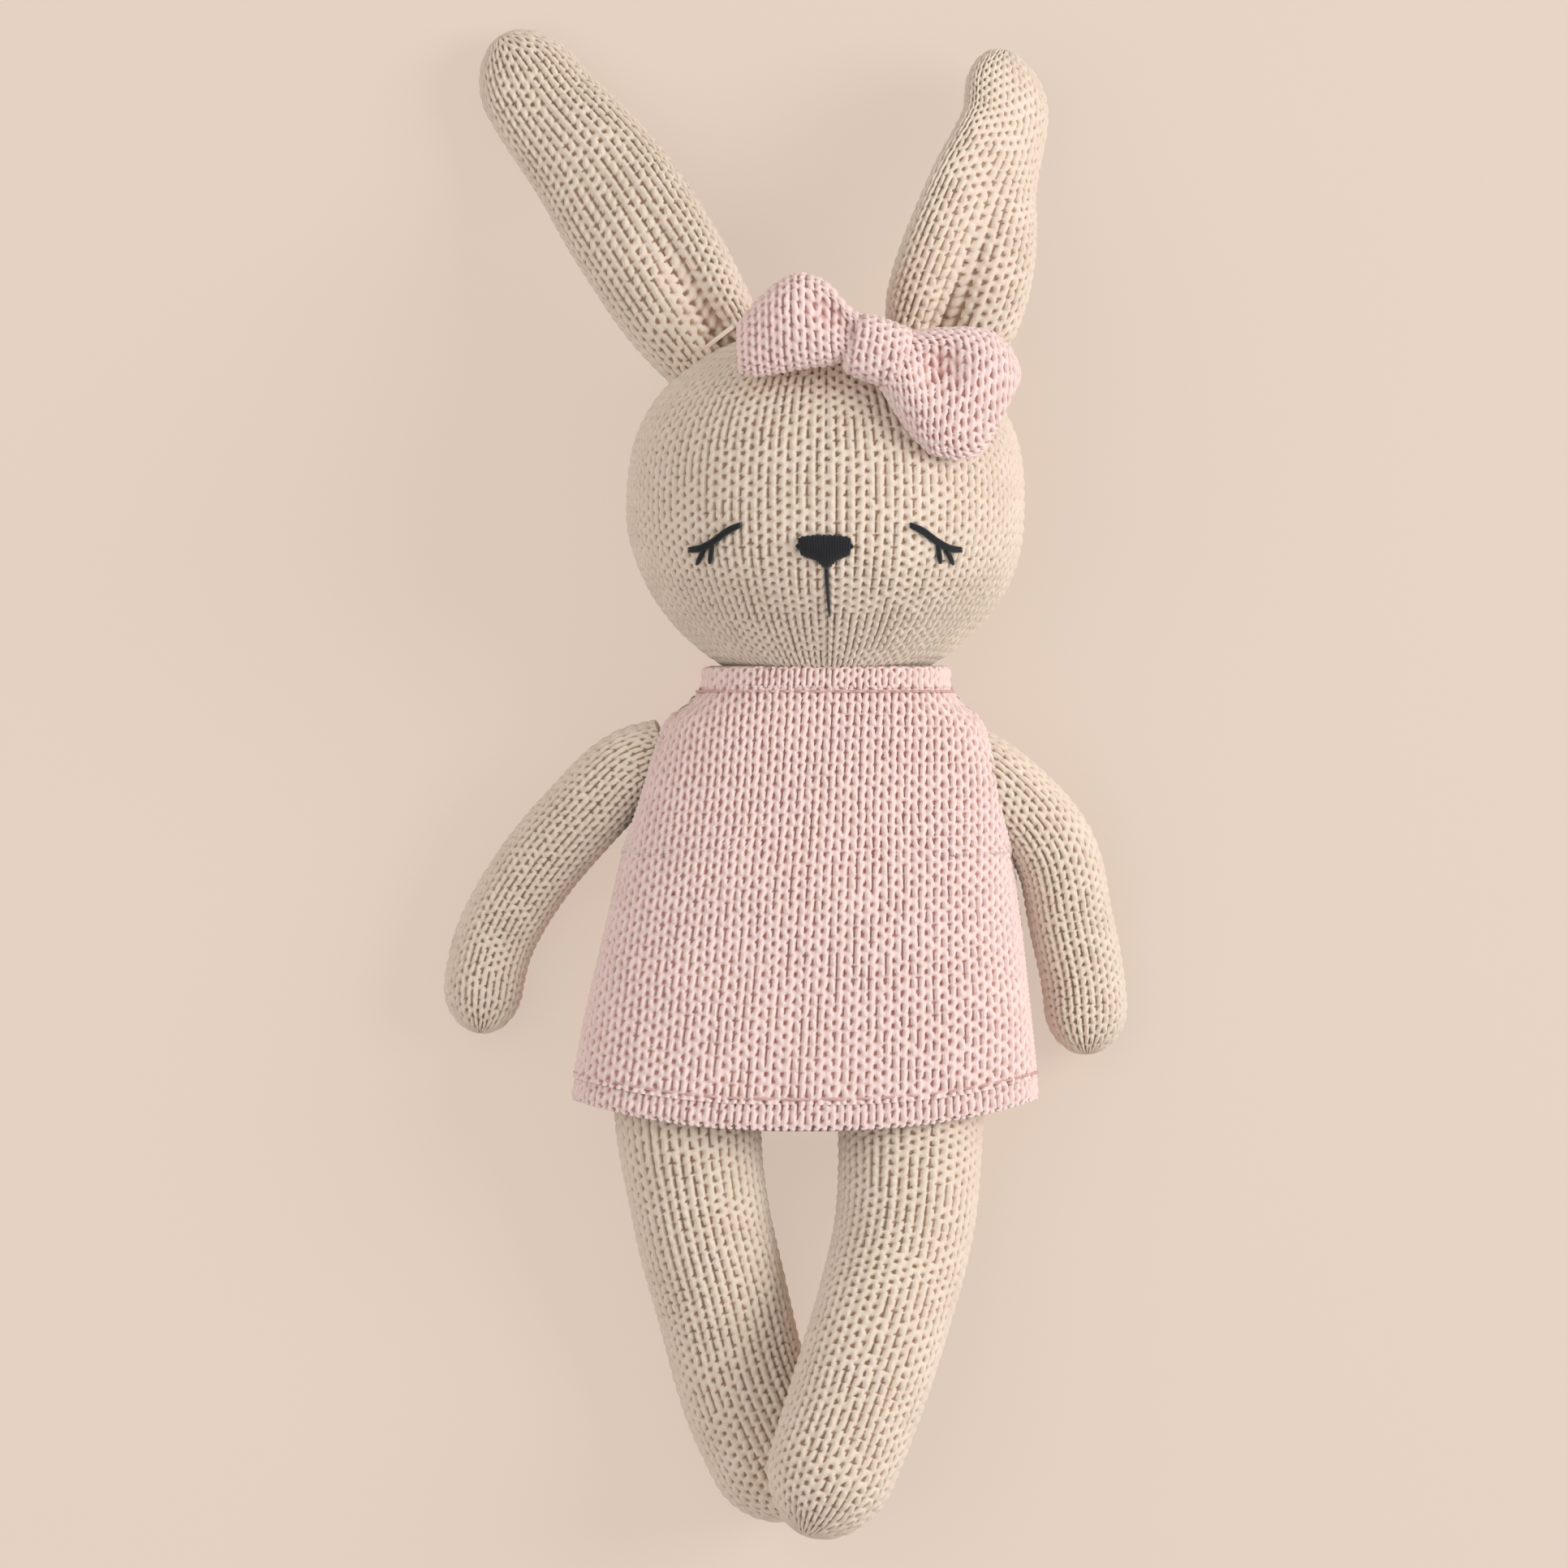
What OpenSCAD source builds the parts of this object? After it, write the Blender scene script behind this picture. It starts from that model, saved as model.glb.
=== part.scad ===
// Knitted soft toy rabbit in a dress, lying on its back.
// +X is the viewer's right, +Y points to the ears and +Z comes out of the face.
// The surface that the toy lies on is z = 0. Millimetres.

/* [Knit and filling] */
// Thickness of the knitted cover of the head, body, arms, legs and ears
knit_t = 2; // [1.4:0.1:2.4]
// Thickness of the dress's knitted panels
dress_t = 2; // [1.4:0.1:2.6]
// Room left between two pieces that lie on each other
gap = 0.4; // [0.3:0.05:0.8]
// Radius of the sewing and embroidery thread
thread_r = 0.7; // [0.5:0.1:1]

/* [Head] */
// Width of the head
head_w = 111; // [92:1:135]
// Height of the head above its widest line
head_up = 50; // [42:1:60]
// Height of the head below its widest line, if it were not cut at the neck
head_down = 47; // [42:1:56]
// Depth of the head from back to face, if it were not flattened where it lies
head_d = 85; // [75:1:102]
// How far the back of the head is flattened where it lies
head_flat = 2.5; // [1:0.5:5]
// Width of the neck opening
neck_w = 50; // [40:1:58]
// Depth of the neck opening
neck_d = 38; // [30:1:42]

/* [Ears] */
// Widest width of an ear
ear_w = 38; // [31:1:44]
// Width of an ear where it is sewn on
ear_base_w = 29; // [24:1:34]
// Width of an ear near its tip
ear_tip_w = 27; // [22:1:32]
// Thickness of an ear
ear_d = 13; // [10:0.5:16]
// Length of the left ear as seen from the front
ear_left_l = 105; // [88:1:127]
// Length of the right ear as seen from the front
ear_right_l = 84; // [74:1:106]

/* [Body and dress] */
// Length of the body from the neck to the hip seams
body_l = 104; // [92:1:112]
// Width of the body at the hips
hip_w = 100; // [96:1:112]
// Depth of the body
body_d = 45; // [40:1:47]
// Width of the dress at its collar
collar_w = 67; // [62:1:80]
// Width of the dress at its shoulders
shoulder_w = 92; // [86:1:98]
// Width of the dress at its hem
hem_w = 131; // [124:1:157]
// Depth of the dress from back to front
dress_d = 51; // [50:1:61]
// Length of the dress at its sides, from collar to hem
dress_l = 121; // [112:1:145]
// How much lower the hem is at the middle than at the sides
hem_dip = 8.5; // [3:0.5:12]
// Height of the folded collar band
collar_h = 6.5; // [5:0.5:9]
// Height of the folded hem band
hem_h = 7.5; // [5:0.5:10]

/* [Arms] */
// Width of an arm
arm_w = 23; // [19:0.5:24]
// Length of the left arm from the shoulder point
arm_left_l = 92; // [76:1:110]
// Length of the right arm from the shoulder point
arm_right_l = 84; // [70:1:98]
// How much the left arm curves along its length, in degrees
arm_left_bend = 46; // [30:1:60]
// How much the right arm curves along its length, in degrees
arm_right_bend = 52; // [40:1:64]

/* [Legs] */
// Width of a leg at the hem
leg_w = 41; // [36:0.5:43]
// Width of a leg at the foot
foot_w = 39; // [33:0.5:43]
// Depth of a leg at the hem
leg_d = 39; // [33:0.5:40]
// Depth of a foot
foot_d = 29; // [24:0.5:32]
// Length of a leg from the hip seam
leg_l = 137; // [114:1:160]
// Distance between the middles of the legs at the hip seams
leg_spacing = 63; // [60:1:70]

/* [Bow] */
// Length of the bow from loop to loop
bow_l = 82; // [68:1:98]
// Height of the bow at its ends
bow_h = 33; // [27:1:40]
// Thickness of the bow's loops
bow_d = 15; // [12:0.5:18]
// Width of the knot along the bow
knot_w = 17; // [14:0.5:20]
// Height of the knot across the bow
knot_h = 21; // [18:0.5:26]

/* [Face] */
// Width of the embroidered nose
nose_w = 16; // [13:0.5:19]
// Height of the embroidered nose
nose_h = 9; // [7:0.5:11]
// Length of the mouth line
mouth_l = 15; // [12:0.5:18]
// Width of a closed eye
eye_w = 15; // [12:0.5:18]
// Distance between the inner ends of the eyes
eye_gap = 48; // [40:1:56]

/* [Hidden] */

beige = [0.83, 0.76, 0.67];
fibre = [0.96, 0.95, 0.92];
pink = [0.90, 0.76, 0.76];
rose = [0.80, 0.62, 0.63];
charcoal = [0.16, 0.17, 0.19];

// The collar's top edge, which places everything else
collar_x = 10.8;
collar_y = 31.8;
// The toy leans: its middle moves this far across for each millimetre along it
lean = 0.05;
function middle_x(y) = collar_x + lean * (y - collar_y);

// Head
head_y = collar_y + 43.5;
head_z = head_d / 2 - head_flat;
neck_gap = 3;
neck_y = collar_y + neck_gap;
neck_z = 26;
// How square the head's top is: 2 is an ellipse
head_square = 2.4;

// Dress
side_square = 2.5;
dress_z = dress_d / 2 - 0.5;
flare = 0.75;
// Where the shoulders slope, from the top of the dress
slope_start = 4;
slope_end = 20;
collar_d = 48;
hem_d = 48;
// Where the armholes start and end, from the top of the dress to the bottom
armhole_top = 15;
armhole_end = 56;
// Angle from the side at which a panel ends: at a seam, and in the middle of an armhole
seam_angle = 1.5;
armhole_angle = 33;

// Body
body_z = neck_z - 1.5;
body_end = collar_y - body_l;
hip_pivot_y = body_end - 3;
hip_z = 22.5;
wedge_slope = 0.85;
seam_half = knit_t + 0.7;

// Arms: shoulder point, and where they point there, in degrees from +X
shoulder_left_out = 48.5;
shoulder_right_out = 50.8;
shoulder_right_drop = 3.5;
shoulder_drop = 28;
shoulder_z = 24;
arm_left_heading = 215;
arm_right_heading = -48;
arm_mouth = 5;

// Legs
leg_left_x = middle_x(hip_pivot_y) - leg_spacing / 2 - 2.5;
leg_right_x = middle_x(hip_pivot_y) + leg_spacing / 2 - 1.5;
leg_left_heading = -90;
leg_left_bend = 30;
leg_right_heading = -87;
leg_right_bend = -30;
hip_mouth_w = 36;
// Height of the right foot, which lies on the left one
crossed_z = 42;

// Ears: their roots on the head, and where they point
ear_left_heading = 128;
ear_left_bend = -6;
ear_right_heading = 74;
ear_right_bend = 6;
ear_root_z = 38;
ear_left_root = [collar_x - 0.59 * head_w / 2, head_y + 0.935 * head_up, ear_root_z];
ear_right_root = [collar_x + 0.59 * head_w / 2, head_y + 0.985 * head_up, ear_root_z];

// Bow
bow_turn = -16;
bow_at = [collar_x + 15, head_y + 0.86 * head_up, head_z + 0.94 * head_d / 2];
bow_waist_d = 9;
bow_waist_h = 12;

// Sides of a round section, and of a thread
n_head = 28;
n_limb = 20;
n_arm = 16;
n_body = 24;
n_thread = 6;

// ---------- shared geometry ----------

// A closed surface through rings of points. The rings follow each other, and a fan closes each end.
// With loop true the last ring joins the first. With turned true each patch is split along its other diagonal.
module skin(rings, loop = false, turned = false) {
    n = len(rings[0]);
    m = len(rings);
    strips = [for (j = [0 : m - (loop ? 1 : 2)]) for (i = [0 : n - 1])
        let (a = j * n + i, b = j * n + (i + 1) % n,
             c = ((j + 1) % m) * n + (i + 1) % n, d = ((j + 1) % m) * n + i)
        each (turned ? [[a, d, b], [b, d, c]] : [[a, c, b], [a, d, c]])];
    first = m * n;
    fans = loop ? [] : [for (i = [0 : n - 1])
        each [[i, (i + 1) % n, first], [(m - 1) * n + (i + 1) % n, (m - 1) * n + i, first + 1]]];
    centres = loop ? [] : [average(rings[0]), average(rings[m - 1])];
    points = concat([for (r = rings) each r], centres);
    polyhedron(points, concat(strips, fans), convexity = 8);
}

function average(points) = [for (k = [0 : 2]) sum([for (p = points) p[k]]) / len(points)];
function sum(v, i = 0) = i >= len(v) ? 0 : v[i] + sum(v, i + 1);
function mix(a, b, t) = a + (b - a) * t;
function smooth(t) = let (u = min(max(t, 0), 1)) u * u * (3 - 2 * u);

// One section: half-width a across the heading, half-depth b, rolled about the heading, never under floor_z
function ring(at, heading, a, b, n, floor_z = 0, roll = 0, square = 2) = [for (i = [0 : n - 1])
    let (t = 360 * i / n,
         u = a * sign(cos(t)) * pow(abs(cos(t)), 2 / square),
         v = b * sign(sin(t)) * pow(abs(sin(t)), 2 / square),
         side = u * cos(roll) - v * sin(roll),
         up = u * sin(roll) + v * cos(roll))
    [at.x + side * sin(heading), at.y - side * cos(heading), max(at.z + up, floor_z)]];

// A point s along an arc that starts at a root with a heading and turns by bend over its length
function arc_point(root, heading, bend, l, s) = let (k = bend / l * PI / 180, h = heading + bend * s / l)
    [root.x + (sin(h) - sin(heading)) / k, root.y - (cos(h) - cos(heading)) / k];

// A round end of length c: 1 along the limb, falling to 0 at its tip
function round_end(s, l, c) = s <= l - c ? 1 : sqrt(max(0, 1 - pow((s - l + c) / c, 2)));

// Places along a limb, closer together in its round end
function stations(from, l, c, body, cap) = concat(
    [for (i = [0 : body - 1]) mix(from, l - c, i / body)],
    [for (i = [0 : cap]) l - c + c * sin(86 * i / cap)]);

// A cover: its outer rings from tip to mouth, then its inner rings from mouth to tip
module cover(outer, inner) {
    skin(concat([for (i = [len(outer) - 1 : -1 : 0]) outer[i]], inner));
}

// A solid through rings that run from root to tip, with its patches split like the inside of a cover
module filling(rings) {
    skin([for (i = [len(rings) - 1 : -1 : 0]) rings[i]], turned = true);
}

// A thread along a list of points, lying flat
module cord(points, r = thread_r) {
    last = len(points) - 1;
    skin([for (i = [0 : last])
        let (d = points[min(i + 1, last)] - points[max(i - 1, 0)], h = atan2(d.y, d.x))
        [for (q = [0 : n_thread - 1]) let (t = 360 * q / n_thread)
            points[i] + r * [-sin(h) * cos(t), cos(h) * cos(t), sin(t)]]]);
}

// A thread that runs round a closed section square to a heading
module seam_loop(at, heading, a, b, n = 16, roll = 0, square = 2, r = thread_r, floor_z = 0) {
    path = ring(at, heading, a, b, n, floor_z + r, roll, square);
    along = [cos(heading), sin(heading), 0];
    skin([for (p = path)
        let (out = p - at, flat = out - along * (out * along), away = flat / norm(flat))
        [for (q = [0 : n_thread - 1]) let (t = 360 * q / n_thread) p + r * (cos(t) * away + sin(t) * along)]],
        loop = true);
}

// ---------- head ----------

function head_half(t, inset) = (head_w / 2 - inset) * pow(max(0, 1 - pow(t, head_square)), 1 / head_square);
function head_low(t, inset) = (head_w / 2 - inset) * sqrt(max(0, 1 - t * t));

// Rings of the head from the neck opening to the crown, drawn in by inset
function head_rings(inset, n, low, high) =
    let (down = head_down - inset, up = head_up - inset, start = (head_y - neck_y) / head_down,
         shape = head_d / head_w, z0 = head_z,
         low_ys = [for (i = [0 : low - 1]) let (t = start * cos(90 * i / low)) [head_y - down * t, head_low(t, inset)]],
         high_ys = [for (i = [0 : high]) let (t = sin(87 * i / high)) [head_y + up * t, head_half(t, inset)]])
    [for (s = concat(low_ys, high_ys))
        let (share = s[1] / (head_w / 2 - inset),
             a = max(s[1], neck_w / 2 - inset),
             b = max(s[1] * shape, neck_d / 2 - inset),
             z = mix(neck_z, z0, smooth((s[0] - neck_y) / 26)))
        ring([collar_x, s[0], z], 90, a, b, n, inset)];

// Height of the face over a point
function face_z(x, y) = let (
    u = (x - collar_x) / (head_w / 2),
    v = (y - head_y) / (y > head_y ? head_up : head_down),
    r = abs(u * u) + pow(abs(v), y > head_y ? head_square : 2))
    head_z + head_d / 2 * sqrt(max(0, 1 - r));

module head_cover() {
    color(beige) cover(head_rings(0, n_head, 7, 9), head_rings(knit_t, n_head, 5, 7));
}

module head_stuffing() {
    color(fibre) filling(head_rings(knit_t + gap, n_head, 5, 7));
}

module neck_seam() {
    color(rose) seam_loop([collar_x, neck_y - thread_r - 0.3, neck_z], 90, 13.5, 12, 20);
}

// ---------- ears ----------

// Half-width along an ear, as a share s of its length
function ear_half(s) = (s < 0.38 ? mix(ear_base_w, ear_w, sin(90 * s / 0.38))
    : mix(ear_w, ear_tip_w, smooth((s - 0.38) / 0.5))) / 2;

function ear_rings(root, heading, bend, l, arch, roll, inset, n, body, cap) =
    let (c = ear_tip_w / 2 + 3 - inset, reach = l - inset, tip_z = ear_d / 2 + 1)
    [for (s = stations(0, reach, c, body, cap))
        let (e = round_end(s, reach, c), t = s / l,
             at = arc_point(root, heading, bend, l, s),
             turn = roll * smooth(t * 1.6),
             a = (ear_half(t) - inset) * e,
             b = (ear_d / 2 * mix(0.8, 1, smooth(t * 4)) - inset) * e,
             low = sqrt(pow(a * sin(turn), 2) + pow(b * cos(turn), 2)),
             z = max(mix(root.z, tip_z, smooth(t)) + arch * sin(180 * t), low + inset))
        ring([at.x, at.y, z], heading + bend * t, a, b, n, inset, turn)];

function left_ear(inset, n, body, cap) =
    ear_rings(ear_left_root, ear_left_heading, ear_left_bend, ear_left_l, 0, 0, inset, n, body, cap);
function right_ear(inset, n, body, cap) =
    ear_rings(ear_right_root, ear_right_heading, ear_right_bend, ear_right_l, 20, -48, inset, n, body, cap);

module ear_left_cover() {
    color(beige) cover(left_ear(0, n_limb, 7, 4), left_ear(knit_t, n_limb, 6, 3));
}

module ear_right_cover() {
    color(beige) cover(right_ear(0, n_limb, 7, 4), right_ear(knit_t, n_limb, 6, 3));
}

module ear_left_filling() {
    color(fibre) filling(left_ear(knit_t + gap, n_limb, 6, 3));
}

module ear_right_filling() {
    color(fibre) filling(right_ear(knit_t + gap, n_limb, 6, 3));
}

module ear_seam(root, heading) {
    back = thread_r + 0.1;
    at = [root.x - back * cos(heading), root.y - back * sin(heading), root.z];
    color(rose) seam_loop(at, heading, ear_base_w / 2 - knit_t, ear_d * 0.4 - knit_t / 2, 12);
}

module ear_seam_left() {
    ear_seam(ear_left_root, ear_left_heading);
}

module ear_seam_right() {
    ear_seam(ear_right_root, ear_right_heading);
}

// ---------- body ----------

// Half-width of the body at y
function body_half(y) = let (t = (collar_y - y) / body_l)
    mix(neck_w / 2 - 1, hip_w / 2, pow(min(1, t * 1.05), 0.6));

function body_rings(inset, n, count) =
    let (top = collar_y - 2, end = body_end)
    [for (i = [0 : count])
        let (t = sin(90 * i / count), y = mix(top, end + inset, t),
             wedge = seam_half + wedge_slope * (y - end - inset) - inset * 0.6,
             b = min(mix(neck_d, body_d, smooth(t * 3)) / 2 - inset, max(wedge, 0.3)))
        ring([middle_x(y), y, mix(neck_z, body_z, t)], 270, body_half(y) - inset, b, n, dress_t + gap + inset, 0, 2.3)];

module body_cover() {
    color(beige) cover(body_rings(0, n_body, 11), body_rings(knit_t, n_body, 8));
}

module body_stuffing() {
    color(fibre) filling(body_rings(knit_t + gap, n_body, 8));
}

// ---------- arms ----------

function arm_rings(side, inset, n, body, cap) =
    let (root = shoulder(side), full = side < 0 ? arm_left_l : arm_right_l, l = full - inset, r = arm_w / 2 - inset,
         heading = side < 0 ? arm_left_heading : arm_right_heading,
         bend = side < 0 ? arm_left_bend : -arm_right_bend,
         mouth = -sqrt(r * r - pow(arm_mouth - inset, 2)),
         back = [for (i = [0 : 2]) mouth * cos(90 * i / 3)],
         c = arm_w / 2 + 2 - inset)
    [for (s = concat(back, stations(0, l, c, body, cap)))
        let (e = s < 0 ? sqrt(1 - pow(s / r, 2)) : round_end(s, l, c),
             at = arc_point(root, heading, bend, full, s),
             z = mix(shoulder_z, arm_w / 2 * 0.92, smooth(s / full * 1.3)),
             droop = mix(1, 0.92, smooth(s / full * 1.3)))
        ring([at.x, at.y, z], heading + bend * s / full, r * e, (arm_w / 2 * droop - inset) * e, n, inset)];

function shoulder(side) = let (y = collar_y - shoulder_drop)
    [middle_x(y) + (side < 0 ? -shoulder_left_out : shoulder_right_out), y - (side > 0 ? shoulder_right_drop : 0), shoulder_z];

module arm_cover(side) {
    color(beige) cover(arm_rings(side, 0, n_arm, 6, 4), arm_rings(side, knit_t, n_arm, 5, 3));
}

module arm_stuffing(side) {
    color(fibre) filling(arm_rings(side, knit_t + gap, n_arm, 5, 3));
}

module shoulder_seam(side) {
    at = shoulder(side);
    heading = side < 0 ? arm_left_heading : arm_right_heading;
    r = arm_w / 2;
    back = sqrt(r * r - arm_mouth * arm_mouth) + 2.4 * thread_r;
    color(rose) seam_loop([at.x - back * cos(heading), at.y - back * sin(heading), at.z],
        heading, arm_mouth - 1.6, arm_mouth - 1.6, 10);
}

module arm_left_cover() {
    arm_cover(-1);
}

module arm_right_cover() {
    arm_cover(1);
}

module arm_left_stuffing() {
    arm_stuffing(-1);
}

module arm_right_stuffing() {
    arm_stuffing(1);
}

module shoulder_seam_left() {
    shoulder_seam(-1);
}

module shoulder_seam_right() {
    shoulder_seam(1);
}

// ---------- legs ----------

function leg_rings(side, inset, n, body, cap) =
    let (x = side < 0 ? leg_left_x : leg_right_x,
         heading = side < 0 ? leg_left_heading : leg_right_heading,
         bend = side < 0 ? leg_left_bend : leg_right_bend,
         reach = leg_l - inset, from = 3,
         c = foot_w / 2 + 1 - inset)
    [for (s = stations(from, reach, c, body, cap))
        let (e = round_end(s, reach, c), t = s / leg_l,
             at = arc_point([x, hip_pivot_y], heading, bend, leg_l, s),
             wide = mix(hip_mouth_w, mix(leg_w, foot_w, t), smooth((s - from) / 14)) / 2 - inset,
             wedge = seam_half + wedge_slope * (s - from) - inset * 0.85,
             deep = min(mix(leg_d, foot_d, smooth(t * 1.15)) / 2 - inset, wedge),
             low_z = mix(hip_z, foot_d / 2, smooth(t * 1.25)),
             z = side < 0 ? low_z : mix(hip_z, crossed_z, smooth((t - 0.25) / 0.55)))
        ring([at.x, at.y, z], heading + bend * t, wide * e, deep * e, n, inset)];

module leg_cover(side) {
    color(beige) cover(leg_rings(side, 0, n_limb, 10, 4), leg_rings(side, knit_t, n_limb, 8, 3));
}

module leg_stuffing(side) {
    color(fibre) filling(leg_rings(side, knit_t + gap, n_limb, 8, 3));
}

// The seam allowance that hangs a leg from the body's lower edge
module hip_seam(x) {
    l = body_end - hip_pivot_y + 1.6;
    color(rose) translate([x, body_end - l / 2 - 0.2, hip_z + 0.6]) cube([hip_mouth_w - 4, l, 2 * thread_r], center = true);
}

module leg_left_cover() {
    leg_cover(-1);
}

module leg_right_cover() {
    leg_cover(1);
}

module leg_left_stuffing() {
    leg_stuffing(-1);
}

module leg_right_stuffing() {
    leg_stuffing(1);
}

module hip_seam_left() {
    hip_seam(leg_left_x);
}

module hip_seam_right() {
    hip_seam(leg_right_x);
}

// ---------- dress ----------

// Half-width of the dress: a slope at the shoulders, then an A-line to the hem
function dress_half(v) = let (from = share(slope_start), to = share(slope_end))
    (v < to ? mix(collar_w, shoulder_w, smooth((v - from) / (to - from)))
        : mix(shoulder_w, hem_w, pow((v - to) / (1 - to), flare))) / 2;

// A point of the dress: v is the share of its length from the collar, t the angle round it from its right side
function dress_point(v, t, inset, out = 0) =
    let (half = dress_half(v) - inset + out,
         deep = (v < 0.25 ? mix(collar_d, dress_d, smooth(v * 4)) : mix(dress_d, hem_d, smooth((v - 0.25) / 0.75))) / 2
             - inset + out,
         c = sign(cos(t)) * pow(abs(cos(t)), 2 / side_square),
         s = sign(sin(t)) * pow(abs(sin(t)), 2 / side_square),
         side_y = collar_y - dress_l * v,
         y = side_y - hem_dip * v * v * pow(abs(s), 2),
         z = mix(neck_z, dress_z, smooth(v * 4)))
    [middle_x(side_y) + half * c, y, max(z + deep * s, inset - out)];

// Share of the dress's length at a height below its collar
function share(drop) = drop / dress_l;

// Angle at which a panel ends at share v: back from the side where the armhole is
function panel_start(v) = let (a = share(armhole_top), b = share(armhole_end))
    v <= a || v >= b ? seam_angle : seam_angle + (armhole_angle - seam_angle) * pow(sin(180 * (v - a) / (b - a)), 0.6);

// Panel stations, closer together in the armhole
function panel_stations(first, last) = concat([first],
    [for (i = [0 : 6]) mix(share(armhole_top), share(armhole_end), i / 6)],
    [for (i = [1 : 5]) mix(share(armhole_end), last, i / 5)]);

// A panel between two shares of the length: front is 1 for the front and -1 for the back
module panel(front, first, last) {
    m = 16;
    vs = panel_stations(first, last);
    rings = [for (v = vs) let (from = panel_start(v))
        concat([for (i = [0 : m]) dress_point(v, front * mix(from, 180 - from, i / m), 0)],
               [for (i = [m : -1 : 0]) dress_point(v, front * mix(from, 180 - from, i / m), dress_t)])];
    n = 2 * (m + 1);
    k = len(vs);
    strips = [for (j = [0 : k - 2]) for (i = [0 : n - 1])
        let (a = j * n + i, b = j * n + (i + 1) % n, c = (j + 1) * n + (i + 1) % n, d = (j + 1) * n + i)
        each (front > 0 ? [[a, c, b], [a, d, c]] : [[a, b, c], [a, c, d]])];
    ends = [for (i = [0 : m - 1]) for (j = [0, k - 1])
        let (a = j * n + i, b = a + 1, c = j * n + n - 2 - i, d = c + 1,
             flip = (j == 0) == (front > 0))
        each (flip ? [[a, b, c], [a, c, d]] : [[a, c, b], [a, d, c]])];
    polyhedron([for (r = rings) each r], concat(strips, ends), convexity = 8);
}

// A folded band right round the dress between two shares of its length
module band(first, last, out, n = 36) {
    rings = [for (p = [[first, 0], [last, 0], [last, dress_t + out], [first, dress_t + out]])
        [for (i = [0 : n - 1]) dress_point(p[0], 360 * i / n, p[1], out)]];
    skin(rings, loop = true);
}

// A stitched thread right round the dress at a share of its length
module topstitch(v, n = 32) {
    r = thread_r;
    path = [for (i = [0 : n - 1]) dress_point(v, 360 * i / n, 0, gap + r + 0.5)];
    skin([for (i = [0 : n - 1])
        let (t = 360 * i / n, lifted = [path[i].x, path[i].y, max(path[i].z, r)], away = [cos(t), 0, sin(t)])
        [for (q = [0 : n_thread - 1]) let (w = 360 * q / n_thread)
            lifted + r * (cos(w) * away + sin(w) * [0, 1, 0])]],
        loop = true);
}

band_first = share(dress_l - hem_h);

module dress_front() {
    color(pink) panel(1, share(collar_h + gap), share(dress_l - hem_h - gap));
}

module dress_back() {
    color(pink) panel(-1, share(collar_h + gap), share(dress_l - hem_h - gap));
}

module collar_band() {
    color(pink) band(0, share(collar_h), 0.6, 28);
}

module hem_band() {
    color(pink) band(band_first, 1, 0);
}

module collar_topstitch() {
    color(rose) topstitch(share(collar_h + gap + thread_r + 1.2), 28);
}

module hem_topstitch() {
    color(rose) intersection() {
        topstitch(share(dress_l - hem_h - gap - thread_r - 0.6), 32);
        translate([0, 0, 500 + thread_r + 2]) cube(1000, center = true);
    }
}

// A thread down one side of the dress, from the armhole to the hem band
module dress_seam(t) {
    color(rose) cord([for (i = [0 : 8])
        dress_point(mix(share(armhole_end + 2), share(dress_l - hem_h - 3), i / 8), t, 0, gap + thread_r)]);
}

module dress_seam_left() {
    dress_seam(180);
}

module dress_seam_right() {
    dress_seam(0);
}

// The turned edge of an armhole, along the front panel and back along the back panel
module armhole_edge(side) {
    count = 8;
    inside = 0.06;
    vs = [for (i = [0 : count]) mix(share(armhole_top) + inside * 0.5, share(armhole_end) - inside * 0.5, i / count)];
    for (front = [1, -1]) {
        color(pink) cord([for (v = vs)
            let (from = panel_start(v) + 6)
            dress_point(v, front * (side > 0 ? from : 180 - from), 0, gap + thread_r + 0.3)]);
    }
}

module armhole_edge_left() {
    armhole_edge(-1);
}

module armhole_edge_right() {
    armhole_edge(1);
}

// ---------- bow ----------

// Rings across the bow, from its left end to its right end
function bow_rings(count, n) = [for (i = [0 : count])
    let (t = -cos(180 * i / count), s = abs(t) * bow_l / 2,
         open = smooth((s - knot_w / 2 + 2) / 14),
         end = sqrt(max(0.02, 1 - pow(max(0, (abs(t) - 0.80) / 0.20), 2))),
         drop = t > 0 ? 11 * t * t : 4 * t * t)
    ring([bow_at.x + t * bow_l / 2 * cos(bow_turn), bow_at.y + t * bow_l / 2 * sin(bow_turn), bow_at.z - drop],
        bow_turn, mix(bow_waist_h, bow_h * mix(0.86, 1.06, (t + 1) / 2), open) / 2 * mix(0.8, 1, end),
        mix(bow_waist_d, bow_d, open) / 2 * end, n)];

module bow_band() {
    color(pink) filling(bow_rings(14, n_limb));
}

module bow_knot() {
    n = 18;
    half = knot_w / 2;
    along = [cos(bow_turn), sin(bow_turn), 0];
    outer_h = knot_h / 2;
    outer_d = bow_waist_d / 2 + 3.2;
    inner_h = bow_waist_h / 2 + gap + 1.6;
    inner_d = bow_waist_d / 2 + gap + 1.2;
    sizes = [[-0.5, outer_h, outer_d], [0.5, outer_h, outer_d], [0.5, inner_h, inner_d], [-0.5, inner_h, inner_d]];
    color(pink) skin([for (s = [sizes[3], sizes[2], sizes[1], sizes[0]])
        ring(bow_at + along * s[0] * (knot_w * 0.72), bow_turn, s[1], s[2], n)], loop = true);
}

// The stitches that hold the knot to the head: two short threads behind it
module bow_thread() {
    top_z = bow_at.z - bow_waist_d / 2 - 3.2 - 0.3;
    for (x = [-3, 3]) {
        at = [bow_at.x + x, bow_at.y - 3];
        low_z = face_z(at.x, at.y - thread_r) + 2;
        color(rose) translate([at.x, at.y, low_z]) cylinder(r = thread_r, h = max(0.6, top_z - low_z), $fn = 24);
    }
}

// ---------- face ----------

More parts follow.
